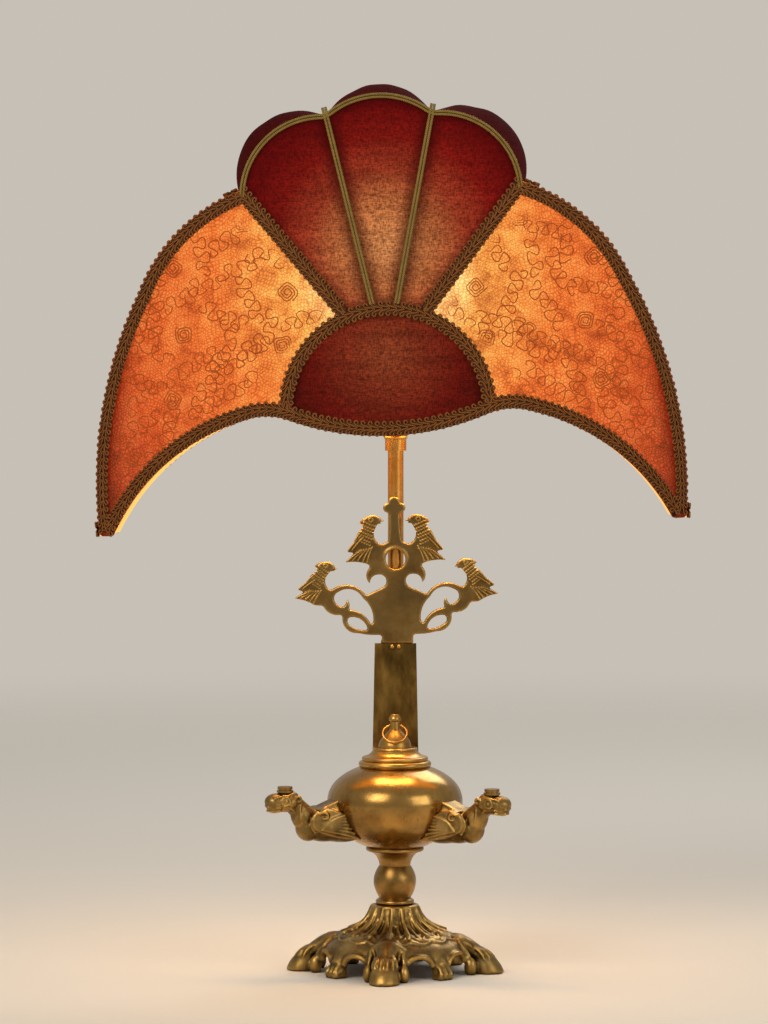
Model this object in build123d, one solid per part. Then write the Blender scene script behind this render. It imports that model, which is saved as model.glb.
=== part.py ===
from build123d import *
from math import cos, sin, sqrt, radians
import os

os.makedirs("parts", exist_ok=True)

# Turns and leans seen in the photo, in degrees: base and bowl stand a little round, shade and plaque lean
# and the shade hangs a few millimetres to the left
lamp_turn = -5.5
shade_lean = -1.9
shade_shift = -4.5
plaque_lean = -1.5

# Overall heights, all in millimetres above the table
bell_top_z = 43.0
collar_top_z = 47.0
knop_top_z = 67.6
cup_top_z = 79.6
bowl_mid_z = 109.0
bowl_rim_z = 130.0
plate_top_z = 206.4
tube_top_z = 331.0
collar_z = 329.0
holder_z = 338.5

# Base
rim_r = 35.0
skirt_r = 46.0
skirt_low_z = 9.5
bell_top_r = 14.3
cast_wall = 2.6
flute_count = 16

# Stem and bowl
rod_r = 5.0
rod_bore_r = 3.4
knop_r = 13.5
bowl_r = 42.8
bowl_wall = 2.0
mouth_r = 20.0
lid_gap = 0.4
rod_gap = 0.05

# Back plate, plaque and tube
plate_y = 23.5
plate_t = 2.0
plaque_y = 23.0
plaque_t = 3.5
tube_r = 5.0
tube_bore_r = 4.0
tube_y = plaque_y + plaque_t + 0.4 + tube_r
rivet_x = 2.1
rivet_z = plate_top_z - 2.2
hub_z = 260.0

# Shade: a lens in plan that narrows towards the top
shade_half = 190.0
shade_edge = 15.0
shade_bulge_low = 70.0
shade_bulge_top = 17.0
shade_low_z = 280.0
shade_top_z = 560.0
fabric_t = 1.2
braid_w = 10.5
braid_t = 2.0
cord_w = 3.0
wire_t = 3.0
layer_gap = 0.15
arch_r = 63.5
arch_z = 355.5
valley = (33.4, 542.3)
corner = (88.5, 496.0)
v_foot = (23.6, 414.4)
rib_foot = (7.0, 418.6)


def spin(edges):
    return revolve(Plane.XZ * make_face(edges), Axis.Z)


def ring(r_in, r_out, z_low, z_high, x=0.0, y=0.0):
    solid = Cylinder(r_out, z_high - z_low) - Cylinder(r_in, z_high - z_low + 2)
    return Pos(x, y, (z_low + z_high) / 2) * solid


def rod(r, z_low, z_high, x=0.0, y=0.0):
    return Pos(x, y, (z_low + z_high) / 2) * Cylinder(r, z_high - z_low)


def egg(centre, radii, tilt=0.0):
    body = scale(Sphere(1.0), by=radii)
    return Pos(*centre) * Rot(0, tilt, 0) * body


def round_bar(start, end, r):
    along = Vector(end) - Vector(start)
    return extrude(Plane(start, z_dir=along) * Circle(r), amount=along.length)


def oval(x, z, across, high, lean):
    facing = (cos(radians(lean)), 0, sin(radians(lean)))
    return Plane((x, 0, z), x_dir=(0, 1, 0), z_dir=facing) * Ellipse(across / 2, high / 2)


def pad(x, z, along, across):
    return Pos(x, 0, z) * Ellipse(along, across)


# Base: hollow bell and skirt, hoofed feet on the quarters and paws between them
def make_base():
    outer = [
        Line((rod_r + rod_gap, bell_top_z), (bell_top_r, bell_top_z)),
        Spline((bell_top_r, bell_top_z), (15.6, 36.0), (19.6, 30.0), (26.6, 26.2), (rim_r, 24.2)),
        Spline((rim_r, 24.2), (rim_r + 1.5, 23.0), (rim_r + 1.2, 21.8)),
        Spline((rim_r + 1.2, 21.8), (skirt_r - 2.5, 18.0), (skirt_r, 13.0), (skirt_r, skirt_low_z)),
        Line((skirt_r, skirt_low_z), (skirt_r - cast_wall, skirt_low_z)),
        Spline((skirt_r - cast_wall, skirt_low_z), (skirt_r - 4.5, 15.0), (rim_r, 19.5)),
        Spline((rim_r, 19.5), (25.0, 22.6), (17.0, 27.6), (13.0, 33.6), (bell_top_r - cast_wall, 39.0)),
        Line((bell_top_r - cast_wall, 39.0), (rod_r + rod_gap, 39.0)),
        Line((rod_r + rod_gap, 39.0), (rod_r + rod_gap, bell_top_z)),
    ]
    base = spin(outer)
    rib = make_face(
        [
            Spline((bell_top_r - 0.6, 42.6), (15.0, 35.8), (19.2, 29.4), (26.4, 25.6), (rim_r - 0.6, 23.9)),
            Line((rim_r - 0.6, 23.9), (rim_r - 1.2, 25.8)),
            Spline((rim_r - 1.2, 25.8), (27.2, 27.8), (20.8, 31.4), (16.8, 36.8), (bell_top_r + 0.5, 42.6)),
            Line((bell_top_r + 0.5, 42.6), (bell_top_r - 0.6, 42.6)),
        ]
    )
    flute = extrude(Plane.XZ * rib, amount=0.9, both=True)
    for k in range(flute_count):
        base += Rot(0, 0, (k + 0.5) * 360.0 / flute_count) * flute
    arch = Pos(skirt_r, 0, skirt_low_z - 1.5) * Rot(0, 90, 0) * Cylinder(5.2, 20)
    for k in range(8):
        base -= Rot(0, 0, 22.5 + 45.0 * k) * arch
    floor = Pos(0, 0, -20) * Box(200, 200, 40)
    big = loft(
        [
            oval(33.0, 18.0, 15.0, 9.0, -8),
            oval(42.0, 18.0, 14.5, 12.0, -18),
            oval(50.0, 13.5, 12.0, 11.0, -38),
            oval(55.0, 9.5, 12.0, 11.0, -45),
        ]
    )
    big += egg((40.5, 0, 19.6), (7.0, 9.4, 5.2), 14)
    big += loft([pad(59.4, -1.0, 10.4, 9.9), pad(58.8, 3.0, 9.8, 9.5), pad(55.6, 11.0, 6.6, 7.3)])
    big += egg((54.6, 0, 11.4), (6.8, 7.6, 2.8), 14)
    for side in (-1, 1):
        big += egg((49.4, side * 9.8, 4.0), (3.6, 3.0, 5.8))
    small = loft([oval(39.5, 14.0, 12.0, 9.0, -30), oval(46.0, 7.0, 11.0, 10.0, -45)])
    small += egg((45.5, 0, 3.0), (5.4, 6.2, 7.4))
    for across in (-3.8, 0, 3.8):
        small += egg((49.6, across, 1.6), (3.2, 2.0, 4.0))
    bore = rod(bell_top_r - cast_wall, -1, 38.9)
    hollow = spin(
        [
            Line((0, -1), (skirt_r - cast_wall - 3, -1)),
            Line((skirt_r - cast_wall - 3, -1), (skirt_r - cast_wall - 3, 14.0)),
            Spline((skirt_r - cast_wall - 3, 14.0), (rim_r - 3, 18.5), (20.0, 24.0)),
            Line((20.0, 24.0), (0, 24.0)),
            Line((0, 24.0), (0, -1)),
        ]
    )
    big = big - hollow - floor
    small = small - hollow - floor
    for k in range(4):
        base += Rot(0, 0, 90.0 * k) * big
        base += Rot(0, 0, 45.0 + 90.0 * k) * small
    return base - bore


base_casting = Rot(0, 0, lamp_turn) * make_base()

# Stem: collar and ball knop in one turning, then the flared cup
stem_knop = spin(
    [
        Line((rod_r + rod_gap, bell_top_z), (11.3, bell_top_z)),
        ThreePointArc((11.3, bell_top_z), (12.2, 44.6), (11.0, 46.2)),
        Line((11.0, 46.2), (10.0, collar_top_z)),
        Spline(
            (10.0, collar_top_z),
            (knop_r - 0.7, 53.2),
            (knop_r, 57.6),
            (knop_r - 0.9, 62.4),
            (9.8, knop_top_z),
        ),
        Line((9.8, knop_top_z), (rod_r + rod_gap, knop_top_z)),
        Line((rod_r + rod_gap, knop_top_z), (rod_r + rod_gap, bell_top_z)),
    ]
)
stem_cup = spin(
    [
        Line((rod_r + rod_gap, knop_top_z), (9.8, knop_top_z)),
        Spline((9.8, knop_top_z), (10.6, 71.0), (13.0, 74.6), (16.4, 76.6)),
        ThreePointArc((16.4, 76.6), (18.3, 78.0), (17.2, cup_top_z)),
        Line((17.2, cup_top_z), (rod_r + rod_gap, cup_top_z)),
        Line((rod_r + rod_gap, cup_top_z), (rod_r + rod_gap, knop_top_z)),
    ]
)

# Bowl: two half ellipses of revolution with a common widest ring
bowl_high = (bowl_rim_z - bowl_mid_z) / sqrt(1 - (22.0 / bowl_r) ** 2)
bowl_low = (bowl_mid_z - cup_top_z) / sqrt(1 - (18.0 / bowl_r) ** 2)


def bowl_point(r, upper=True, inset=0.0):
    high = (bowl_high if upper else bowl_low) - inset
    rise = high * sqrt(max(0.0, 1 - (r / (bowl_r - inset)) ** 2))
    return (r, bowl_mid_z + (rise if upper else -rise))


def bowl_curve(inset, r_low, r_high):
    lower = [bowl_point((bowl_r - inset) * f, False, inset) for f in (0.6, 0.8, 0.94)]
    upper = [bowl_point((bowl_r - inset) * f, True, inset) for f in (0.94, 0.8, 0.66)]
    low = bowl_point(r_low, False, inset)
    high = bowl_point(r_high, True, inset)
    return low, high, Spline(low, *lower, (bowl_r - inset, bowl_mid_z), *upper, high)


def bowl_core():
    low, high, curve = bowl_curve(0.0, 18.0, 22.0)
    return spin([curve, Line(high, (0, high[1])), Line((0, high[1]), (0, low[1])), Line((0, low[1]), low)])


def make_bowl():
    low, high, curve = bowl_curve(bowl_wall, 17.0, mouth_r)
    inside = spin(
        [curve, Line(high, (0, high[1])), Line((0, high[1]), (0, low[1] + 1)), Line((0, low[1] + 1), low)]
    )
    bowl = bowl_core() - inside - rod(mouth_r, bowl_rim_z - 6, bowl_rim_z + 5)
    bowl -= rod(rod_r + rod_gap, 70, 100)
    return bowl - rod(tube_r + rod_gap, 110, 140, 0, tube_y)


bowl_body = bowl_core()
font_bowl = make_bowl()

# Rod through base, stem and bowl, with its nuts
threaded_rod = ring(rod_bore_r, rod_r, 31.0, 91.0)
base_nut = extrude(RegularPolygon(8.0, 6), amount=5.2) + Pos(0, 0, 5.8) * Cylinder(10.5, 1.6)
base_nut = Pos(0, 0, 32.4) * (base_nut - Cylinder(rod_r + rod_gap, 30))
bowl_floor_z = bowl_point(17.0, False, bowl_wall)[1] + 1
bowl_nut = extrude(RegularPolygon(8.0, 6), amount=5.0) - Cylinder(rod_r + rod_gap, 30)
bowl_nut = Pos(0, 0, bowl_floor_z) * bowl_nut
cord_bush = ring(2.2, rod_bore_r - 0.02, 30.4, 36.0) + ring(2.2, 4.6, 29.4, 30.99)


# Spouts: winged animal busts
cap_reach = 75.0
cap_r = 5.2
cap_seat_z = 116.8
wick_r = 3.0


def make_spout():
    body = loft(
        [
            oval(26.0, 97.0, 20.0, 24.0, 0),
            oval(40.0, 97.5, 25.0, 27.0, 0),
            oval(52.0, 96.0, 21.0, 20.5, 0),
            oval(61.0, 95.0, 15.5, 17.0, 12),
        ]
    )
    body += egg((59.5, 0, 94.0), (8.0, 8.4, 8.6))
    neck = loft(
        [
            oval(55.0, 95.5, 16.5, 15.0, 35),
            oval(63.5, 103.5, 12.5, 13.0, 45),
            oval(71.0, 110.5, 12.0, 12.0, 35),
        ]
    )
    head = egg((74.0, 0, 111.6), (8.4, 6.6, 6.4), 14)
    head += egg((81.2, 0, 109.8), (6.6, 4.9, 4.2), 10)
    head += egg((82.0, 0, 106.4), (4.6, 3.9, 2.4), 6)
    for side in (-1, 1):
        head += egg((67.0, side * 5.2, 113.2), (3.4, 1.7, 2.6), 30)
        head += egg((76.6, side * 4.8, 113.4), (1.9, 1.6, 1.6))
    spout = body + neck + head
    wing_2d = make_face(
        [
            ThreePointArc((56.0, 104.0), (61.0, 99.0), (57.5, 92.5)),
            Spline((57.5, 92.5), (48.0, 89.0), (36.0, 86.5), (27.0, 86.0)),
            Line((27.0, 86.0), (30.0, 107.0)),
            Spline((30.0, 107.0), (42.0, 104.0), (50.0, 106.5), (56.0, 104.0)),
        ]
    )
    for side in (-1, 1):
        wing = extrude(Plane.XZ * wing_2d, amount=-side * 4.2)
        spout += Pos(0, side * 8.2, 0) * wing
    spout += rod(cap_r - 1.0, 110.0, cap_seat_z, cap_reach)
    spout -= rod(wick_r, 108.0, 130.0, cap_reach)
    spout -= rod(cap_r + 1.0, cap_seat_z, 130.0, cap_reach)
    return spout - bowl_body - rod(18.4, 70, 80)


def make_cap():
    cap = rod(cap_r, cap_seat_z, cap_seat_z + 1.3, cap_reach)
    cap += rod(cap_r - 1.2, cap_seat_z + 1.3, cap_seat_z + 2.0, cap_reach)
    cap += rod(cap_r - 0.5, cap_seat_z + 2.0, cap_seat_z + 3.6, cap_reach)
    return cap + rod(wick_r - 0.4, cap_seat_z - 4.0, cap_seat_z, cap_reach)


spout = make_spout()
cap = make_cap()
spout_turns = {"left": -150.0, "right": -30.0, "rear": 90.0}

# Lid: stepped flange, cove, dome and pierced knob; the ring hangs in the hole
eye_z = 156.6
eye_r = 1.5
ring_r = 7.6
ring_wire = 0.6
ring_lean = 47.0


def make_lid():
    lid = spin(
        [
            Line((0, bowl_rim_z), (22.0, bowl_rim_z)),
            ThreePointArc((22.0, bowl_rim_z), (23.0, 131.8), (22.0, 133.6)),
            Line((22.0, 133.6), (20.6, 134.2)),
            ThreePointArc((20.6, 134.2), (20.9, 135.6), (19.6, 136.6)),
            Spline((19.6, 136.6), (16.0, 138.2), (14.0, 140.6)),
            ThreePointArc((14.0, 140.6), (14.2, 141.8), (13.0, 142.2)),
            Line((13.0, 142.2), (10.4, 142.2)),
            Spline((10.4, 142.2), (9.4, 146.4), (6.2, 150.6), (3.4, 153.6)),
            Line((3.4, 153.6), (3.0, 158.6)),
            Spline((3.0, 158.6), (3.8, 160.6), (2.7, 162.7), (0, 163.4), tangents=((1, 0.4), (-1, 0))),
            Line((0, 163.4), (0, bowl_rim_z)),
        ]
    )
    lid += rod(mouth_r - lid_gap, bowl_rim_z - 3.5, bowl_rim_z)
    lid -= rod(mouth_r - lid_gap - 2.0, bowl_rim_z - 4.0, bowl_rim_z + 2.0)
    eye = Pos(0, 0, eye_z) * Rot(0, 90, 0) * Cylinder(eye_r, 20)
    return lid - eye


lid = make_lid()
ring_plane = Pos(0, 0, eye_z) * Rot(90 - ring_lean, 0, 0) * Pos(0, -ring_r, 0)
lid_ring = ring_plane * Torus(ring_r, ring_wire)


# Back plate between lid and tube, foot shaped to the bowl's shoulder
def make_plate():
    outline = make_face(
        Polyline(
            (-14.8, 124.0),
            (14.8, 124.0),
            (13.2, plate_top_z),
            (-13.2, plate_top_z),
            (-14.8, 124.0),
        )
    )
    plate = Pos(0, plate_y + plate_t, 0) * extrude(Plane.XZ * outline, amount=plate_t)
    plate -= bowl_body
    for side in (-1, 1):
        hole = Pos(side * rivet_x, plate_y, rivet_z) * Rot(90, 0, 0) * Cylinder(1.0, 20)
        plate -= hole
        plate -= Pos(side * 9.5, plate_y + plate_t, 168.0) * Rot(90, 0, 0) * Cylinder(1.0, 2.4)
    return plate


back_plate = make_plate()


# Plaque: one flat casting, sawn and filed; the right half is drawn from the top down and mirrored
def run(*points):
    edges = []
    for k in range(len(points) - 1):
        start, end = points[k][-1], points[k + 1]
        edges.append(ThreePointArc(start, *end) if len(end) == 2 else Line(start, end[0]))
    return edges


def finial_and_hub():
    return run(
        [(0, 299.8)],
        [(2.9, 298.6), (3.6, 295.6)],
        [(7.2, 292.8), (4.6, 289.8)],
        [(3.3, 289.0)],
        [(3.4, 281.0), (4.0, 274.0)],
        [(4.6, 271.2)],
        [(8.6, 269.6)],
    )


def bird(x, z, turn=0.0, size=1.0):
    outline = (
        [(0.5, -15.3)],
        [(5.1, -10.7), (4.1, -4.7)],
        [(2.8, -2.1)],
        [(0, 0)],
        [(2.9, 2.9), (6.7, 3.5)],
        [(10.3, 2.1), (13.5, -1.3)],
        [(11.7, -4.3)],
        [(15.3, -7.5), (17.1, -13.5)],
        [(19.7, -16.7), (22.9, -19.5)],
        [(19.9, -20.0), (17.3, -19.9)],
        [(20.7, -22.9), (24.1, -26.3)],
        [(16.5, -26.1), (9.1, -27.9)],
    )
    c = cos(radians(turn)) * size
    d = sin(radians(turn)) * size
    placed = [[(x + c * u - d * v, z + d * u + c * v) for u, v in step] for step in outline]
    return run(*placed)


def shield_side():
    return run(
        [(17.2, 257.0)],
        [(16.4, 255.4)],
        [(18.9, 250.4), (16.6, 244.6)],
        [(14.6, 249.4), (11.4, 250.4)],
        [(6.4, 247.6), (8.4, 242.4)],
        [(19.4, 237.4)],
        [(29.2, 244.2), (38.6, 243.0)],
    )


def scroll_side():
    return run(
        [(46.8, 231.4)],
        [(43.2, 226.8), (36.0, 225.4)],
        [(34.6, 224.6)],
        [(33.2, 217.2), (25.0, 213.4)],
        [(18.5, 212.2), (12.0, 212.0)],
        [(10.0, 211.6)],
        [(10.0, plate_top_z - 1.5)],
        [(0, plate_top_z - 1.5)],
        [(0, 299.8)],
    )


def plaque_half():
    lower = bird(38.4, 255.0, 13.0, 0.92)
    edges = finial_and_hub() + bird(8.1, 284.9) + shield_side() + [Line((38.6, 243.0), lower[0] @ 0)]
    edges += lower + [Line(lower[-1] @ 1, (46.8, 231.4))] + scroll_side()
    half = make_face(edges)
    big_eye = run(
        [(15.2, 220.4)],
        [(16.6, 229.4), (21.4, 235.6)],
        [(28.4, 241.4), (36.4, 240.2)],
        [(39.8, 236.0), (37.4, 231.8)],
        [(34.4, 230.6), (32.4, 232.6)],
        [(31.0, 235.6)],
        [(29.8, 231.4)],
        [(30.6, 228.4)],
        [(22.0, 225.6), (16.6, 218.4)],
        [(15.2, 220.4)],
    )
    leaf_eye = run(
        [(18.8, 215.4)],
        [(22.4, 221.6), (30.4, 223.6)],
        [(31.6, 220.6), (29.6, 218.2)],
        [(24.6, 215.8), (18.8, 215.4)],
    )
    return half - make_face(big_eye) - make_face(leaf_eye)


def make_plaque():
    half = plaque_half()
    flat = half + mirror(half, Plane.YZ)
    flat -= Pos(0, hub_z) * Circle(6.3)
    lean = Pos(0, 0, hub_z) * Rot(0, plaque_lean, 0) * Pos(0, 0, -hub_z)
    solid = extrude(Plane.XZ * flat, amount=plaque_t)
    solid = lean * Pos(0, plaque_y + plaque_t, 0) * solid
    solid -= Pos(0, plaque_y, plate_top_z - 10) * Box(60, 40, 20)
    tongue_t = plaque_y + plaque_t - plate_y - plate_t
    tongue_mid_y = plaque_y + plaque_t - tongue_t / 2
    tongue = Pos(0, tongue_mid_y, plate_top_z - 3.5) * Box(19.0, tongue_t, 11.0)
    for side in (-1, 1):
        tongue -= Pos(side * rivet_x, plate_y, rivet_z) * Rot(90, 0, 0) * Cylinder(1.0, 20)
    rim = ring(6.3, 8.0, 0, 0.8)
    raised = Pos(0, plaque_y, hub_z) * Rot(90, 0, 0) * rim
    return solid + tongue + raised


plaque = make_plaque()


def make_rivets():
    group = []
    for side in (-1, 1):
        shank = plaque_y + plaque_t - plate_y
        pin = Cylinder(0.99, shank, align=(Align.CENTER, Align.CENTER, Align.MAX))
        head = Pos(0, 0, 0) * (Sphere(1.7) & Pos(0, 0, 1.0) * Box(6, 6, 2.0))
        group.append(Pos(side * rivet_x, plate_y, rivet_z) * Rot(90, 0, 0) * (pin + head))
    return Compound(children=group)


plaque_rivets = make_rivets()

# Tube behind the plaque, its socket, clamp and screws
lamp_tube = ring(tube_bore_r, tube_r, 116.0, tube_top_z, 0, tube_y)
tube_socket = ring(tube_r + rod_gap, 7.6, 118.0, 134.0, 0, tube_y) - bowl_body
tube_socket -= Pos(0, plate_y + plate_t - 20, 126) * Box(40, 40, 30)
clamp_z = 168.0
strap = Cylinder(tube_r + 1.3, 9) - Cylinder(tube_r + rod_gap, 10)
strap -= Pos(0, -10, 0) * Box(30, 20, 20)
plate_back = plate_y + plate_t
legs = Box(2 * tube_r + 2.6, tube_y - plate_back, 9) - Box(2 * tube_r + 2 * rod_gap, 30, 10)
legs = Pos(0, (plate_back - tube_y) / 2, 0) * legs
lugs = Box(25.0, 1.2, 9) - Box(2 * tube_r + 2.6, 5, 10)
lugs = Pos(0, plate_back - tube_y + 0.6, 0) * lugs
tube_clamp = Pos(0, tube_y, clamp_z) * (strap + legs + lugs)
screws = []
for side in (-1, 1):
    tube_clamp -= Pos(side * 9.5, plate_back, clamp_z) * Rot(90, 0, 0) * Cylinder(1.05, 10)
    shank = Cylinder(0.98, 2.4, align=(Align.CENTER, Align.CENTER, Align.MAX))
    top = Pos(0, 0, 0.6) * Cylinder(1.8, 1.2) - Pos(0, 0, 1.0) * Box(5, 0.5, 0.8)
    place = Pos(side * 9.5, plate_back + 1.2, clamp_z) * Rot(-90, 0, 0)
    screws.append(place * (shank + top))
clamp_screws = Compound(children=screws)

# Lampholder on the tube, with its collar, insulator, shade ring nut and bulb
tube_collar = spin(
    [
        Line((tube_r + rod_gap, collar_z), (6.8, collar_z)),
        Line((6.8, collar_z), (6.8, holder_z - 2.4)),
        ThreePointArc((6.8, holder_z - 2.4), (7.5, holder_z - 1.2), (6.8, holder_z)),
        Line((6.8, holder_z), (tube_bore_r, holder_z)),
        Line((tube_bore_r, holder_z), (tube_bore_r, tube_top_z)),
        Line((tube_bore_r, tube_top_z), (tube_r + rod_gap, tube_top_z)),
        Line((tube_r + rod_gap, tube_top_z), (tube_r + rod_gap, collar_z)),
    ]
)
holder_cap = spin(
    [
        Line((tube_bore_r, holder_z), (7.4, holder_z)),
        Spline((7.4, holder_z), (11.0, 341.5), (15.6, 346.0), (17.0, 351.0)),
        Line((17.0, 351.0), (15.4, 351.0)),
        Spline((15.4, 351.0), (13.6, 346.8), (9.6, 343.0), (tube_bore_r, 340.4)),
        Line((tube_bore_r, 340.4), (tube_bore_r, holder_z)),
    ]
)
seat_z = 371.0
holder_shell = ring(15.4, 17.0, 351.0, seat_z) + ring(14.2, 15.4, 351.0, 390.0)
holder_insulator = rod(14.1, 352.0, 361.0) - rod(1.5, 346, 366, 5) - rod(1.5, 346, 366, -5)
shade_nut = ring(15.45, 19.5, seat_z + 3.3, seat_z + 8.0)
bulb_cap = rod(13.2, 363.0, 389.0) + rod(4.5, 361.3, 363.0)
bulb_profile = [
    (13.0, 389.0),
    (14.6, 396.0),
    (22.0, 412.0),
    (29.0, 430.0),
    (29.6, 443.0),
    (22.0, 460.0),
    (10.0, 466.8),
]
bulb_out = Spline(*bulb_profile, (0, 468.0), tangents=((0, 1), (-1, 0)))
bulb_glass = spin([bulb_out, Line((0, 468.0), (0, 389.0)), Line((0, 389.0), (13.0, 389.0))])
bulb_lining = [(r - 1.0, z if z < 440 else z - 0.6) for r, z in bulb_profile]
bulb_in = Spline(*bulb_lining, (0, 467.0), tangents=((0, 1), (-1, 0)))
bulb_glass -= spin([bulb_in, Line((0, 467.0), (0, 389.0)), Line((0, 389.0), (12.0, 389.0))])
at_tube = Pos(0, tube_y, 0)
at_shade = Pos(shade_shift, tube_y, seat_z) * Rot(0, shade_lean, 0) * Pos(0, 0, -seat_z)

# Shade outlines in the x-z plane
tip = (177.0, 281.0)
outer_tip = (186.0, 281.0)
low_peak = (77.0, 354.3)
lobe_mid = (72.0, 530.0)
puff_corner = (91.0, 496.0)
puff_mid = (78.0, 537.0)


def arc_pair(start, mid, end):
    left = [(-x, z) for x, z in (end, mid, start)]
    return [ThreePointArc(start, mid, end), ThreePointArc(*left)]


def crown(start, mid, peak, shrink=1.0):
    def near(point):
        return (point[0] * shrink, 470.0 + (point[1] - 470.0) * shrink)

    right, left = arc_pair(near(start), near(mid), near(valley))
    return [right, ThreePointArc(right @ 1, near((0, peak)), left @ 0), left]


def face_outline():
    edges = [ThreePointArc((-63.0, 352.0), (0, 340.0), (63.0, 352.0))]
    edges += arc_pair((63.0, 352.0), low_peak, (90.0, 352.0))
    edges += arc_pair((90.0, 352.0), (140.0, 326.5), tip)
    edges += [Line(tip, outer_tip), Line((-outer_tip[0], tip[1]), (-tip[0], tip[1]))]
    edges += arc_pair(outer_tip, (181.6, 360.0), (155.0, 434.0))
    edges += arc_pair((155.0, 434.0), (128.5, 472.0), corner)
    return make_face(edges + crown(corner, lobe_mid, 554.6))


def depth(x, z):
    part = (z - shade_low_z) / (shade_top_z - shade_low_z)
    bulge = shade_bulge_low + part * (shade_bulge_top - shade_bulge_low)
    return shade_edge + bulge * (1 - (x / shade_half) ** 2)


def lens(grow):
    faces = []
    for z in (270.0, 575.0):
        end = depth(195.0, z) + grow
        mid = depth(0.0, z) + grow
        pull = 2 * mid - end
        front = Bezier((-195, -end), (0, -pull), (195, -end))
        back = Bezier((195, end), (0, pull), (-195, end))
        side = [Line((195, -end), (195, end)), Line((-195, end), (-195, -end))]
        faces.append(Pos(0, 0, z) * make_face([front, side[0], back, side[1]]))
    return loft(faces, ruled=True)


def front_of(shell, flat):
    return shell & extrude(Plane.XZ * flat, amount=140.0)


def half_plane(z_low, z_high, x_low=-200.0, x_high=200.0):
    return Pos((x_low + x_high) / 2, (z_low + z_high) / 2) * Rectangle(x_high - x_low, z_high - z_low)


lens_in = lens(0.0)
lens_out = lens(fabric_t)
fabric_shell = lens_out - lens_in
trim_shell = lens(fabric_t + layer_gap + braid_t) - lens(fabric_t + layer_gap)
frame_shell = lens(-layer_gap) - lens(-layer_gap - wire_t)
face = face_outline()
moon = Pos(0, arch_z) * Circle(arch_r)
v_lines = [Line((s * corner[0], corner[1]), (s * v_foot[0], v_foot[1])) for s in (-1, 1)]
rib_lines = [Line((s * valley[0], valley[1]), (s * rib_foot[0], rib_foot[1])) for s in (-1, 1)]

# Cloth panels of one face, cut apart along their seams
seam = 0.5
seams = Pos(0, arch_z) * (Circle(arch_r + seam / 2) - Circle(arch_r - seam / 2))
for line in v_lines + rib_lines:
    seams += trace(line, seam)
cloth = front_of(fabric_shell, face - seams)
panels = {}
for piece in cloth.solids():
    spot = piece.center(CenterOf.BOUNDING_BOX)
    side = "left" if spot.X < -5 else "right" if spot.X > 5 else "centre"
    if spot.Z > 440 and abs(spot.X) < 80:
        panels["fan_" + side] = piece
    elif side == "centre":
        panels["half_moon"] = piece
    else:
        panels["wing_" + side] = piece

# Braid on the seams and edges, cord on the ribs and the crown
inner_face = offset(face, amount=-braid_w)
edge_band = face - inner_face
crown_zone = half_plane(corner[1] - 2, 600.0, -96, 96)
low_zone = make_face(
    Polyline((-183, 275), (183, 275), (158, 345), (95, 372), (-95, 372), (-158, 345), (-183, 275))
)
low_band = edge_band & low_zone
side_band = edge_band - offset(low_zone, amount=0.2) - crown_zone
arch_band = (Pos(0, arch_z) * (Circle(arch_r + braid_w / 2) - Circle(arch_r - braid_w / 2))) & inner_face
v_bands = trace(v_lines[0], braid_w) + trace(v_lines[1], braid_w)
v_bands -= Pos(0, arch_z) * Circle(arch_r + braid_w / 2 + 0.2)
v_bands = v_bands & inner_face
crown_band = (face - offset(face, amount=-cord_w)) & crown_zone
rib_bands = trace(rib_lines[0], cord_w) + trace(rib_lines[1], cord_w)
rib_bands -= Pos(0, arch_z) * Circle(arch_r + braid_w / 2 + 0.2)
rib_bands = rib_bands & offset(face, amount=-cord_w - 0.2)
trims = {
    "braid_bottom": front_of(trim_shell, low_band),
    "braid_edge": front_of(trim_shell, side_band),
    "braid_inner": front_of(trim_shell, arch_band + v_bands),
    "cord": front_of(trim_shell, crown_band + rib_bands),
}

# Wire frame of one face, just inside its cloth
cells = offset(face, amount=-2.2 - wire_t)
cells -= Pos(0, arch_z) * (Circle(arch_r + wire_t / 2) - Circle(arch_r - wire_t / 2))
for line in v_lines + rib_lines:
    cells -= trace(line, wire_t)
wires = offset(face, amount=-2.2) - cells
frame_front = front_of(frame_shell, wires)

# Side gussets and puffed crown gussets between the two faces
inside = lens(-layer_gap)
strip = face - offset(face, amount=-fabric_t)
strip = strip - crown_zone - low_zone
gussets = extrude(Plane.XZ * strip, amount=70.0, both=True) & inside
side_gussets = {}
for piece in gussets.solids():
    side_gussets["left" if piece.center().X < 0 else "right"] = piece


def crown_section(y, start, mid, peak, shrink):
    edges = crown(start, mid, peak, shrink)
    flat = make_face([*edges, Line(edges[2] @ 1, edges[0] @ 0)])
    return Plane.XZ.offset(-y) * flat


def crown_block(shrink):
    sections = [
        crown_section(44.0, corner, lobe_mid, 554.6, shrink),
        crown_section(0.0, puff_corner, puff_mid, 561.8, shrink),
        crown_section(-44.0, corner, lobe_mid, 554.6, shrink),
    ]
    return loft(sections)


crown_shell = (crown_block(1.0) - crown_block(0.984)) & inside
crown_shell -= Pos(0, 0, corner[1] - 10) * Box(300, 200, 22)
crown_pieces = {}
for name, low, high in (("left", -120, -valley[0]), ("centre", -valley[0], valley[0]), ("right", valley[0], 120)):
    slab = Pos((low + high) / 2, 0, 530) * Box(high - low - 0.4, 200, 120)
    crown_pieces[name] = crown_shell & slab

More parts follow.
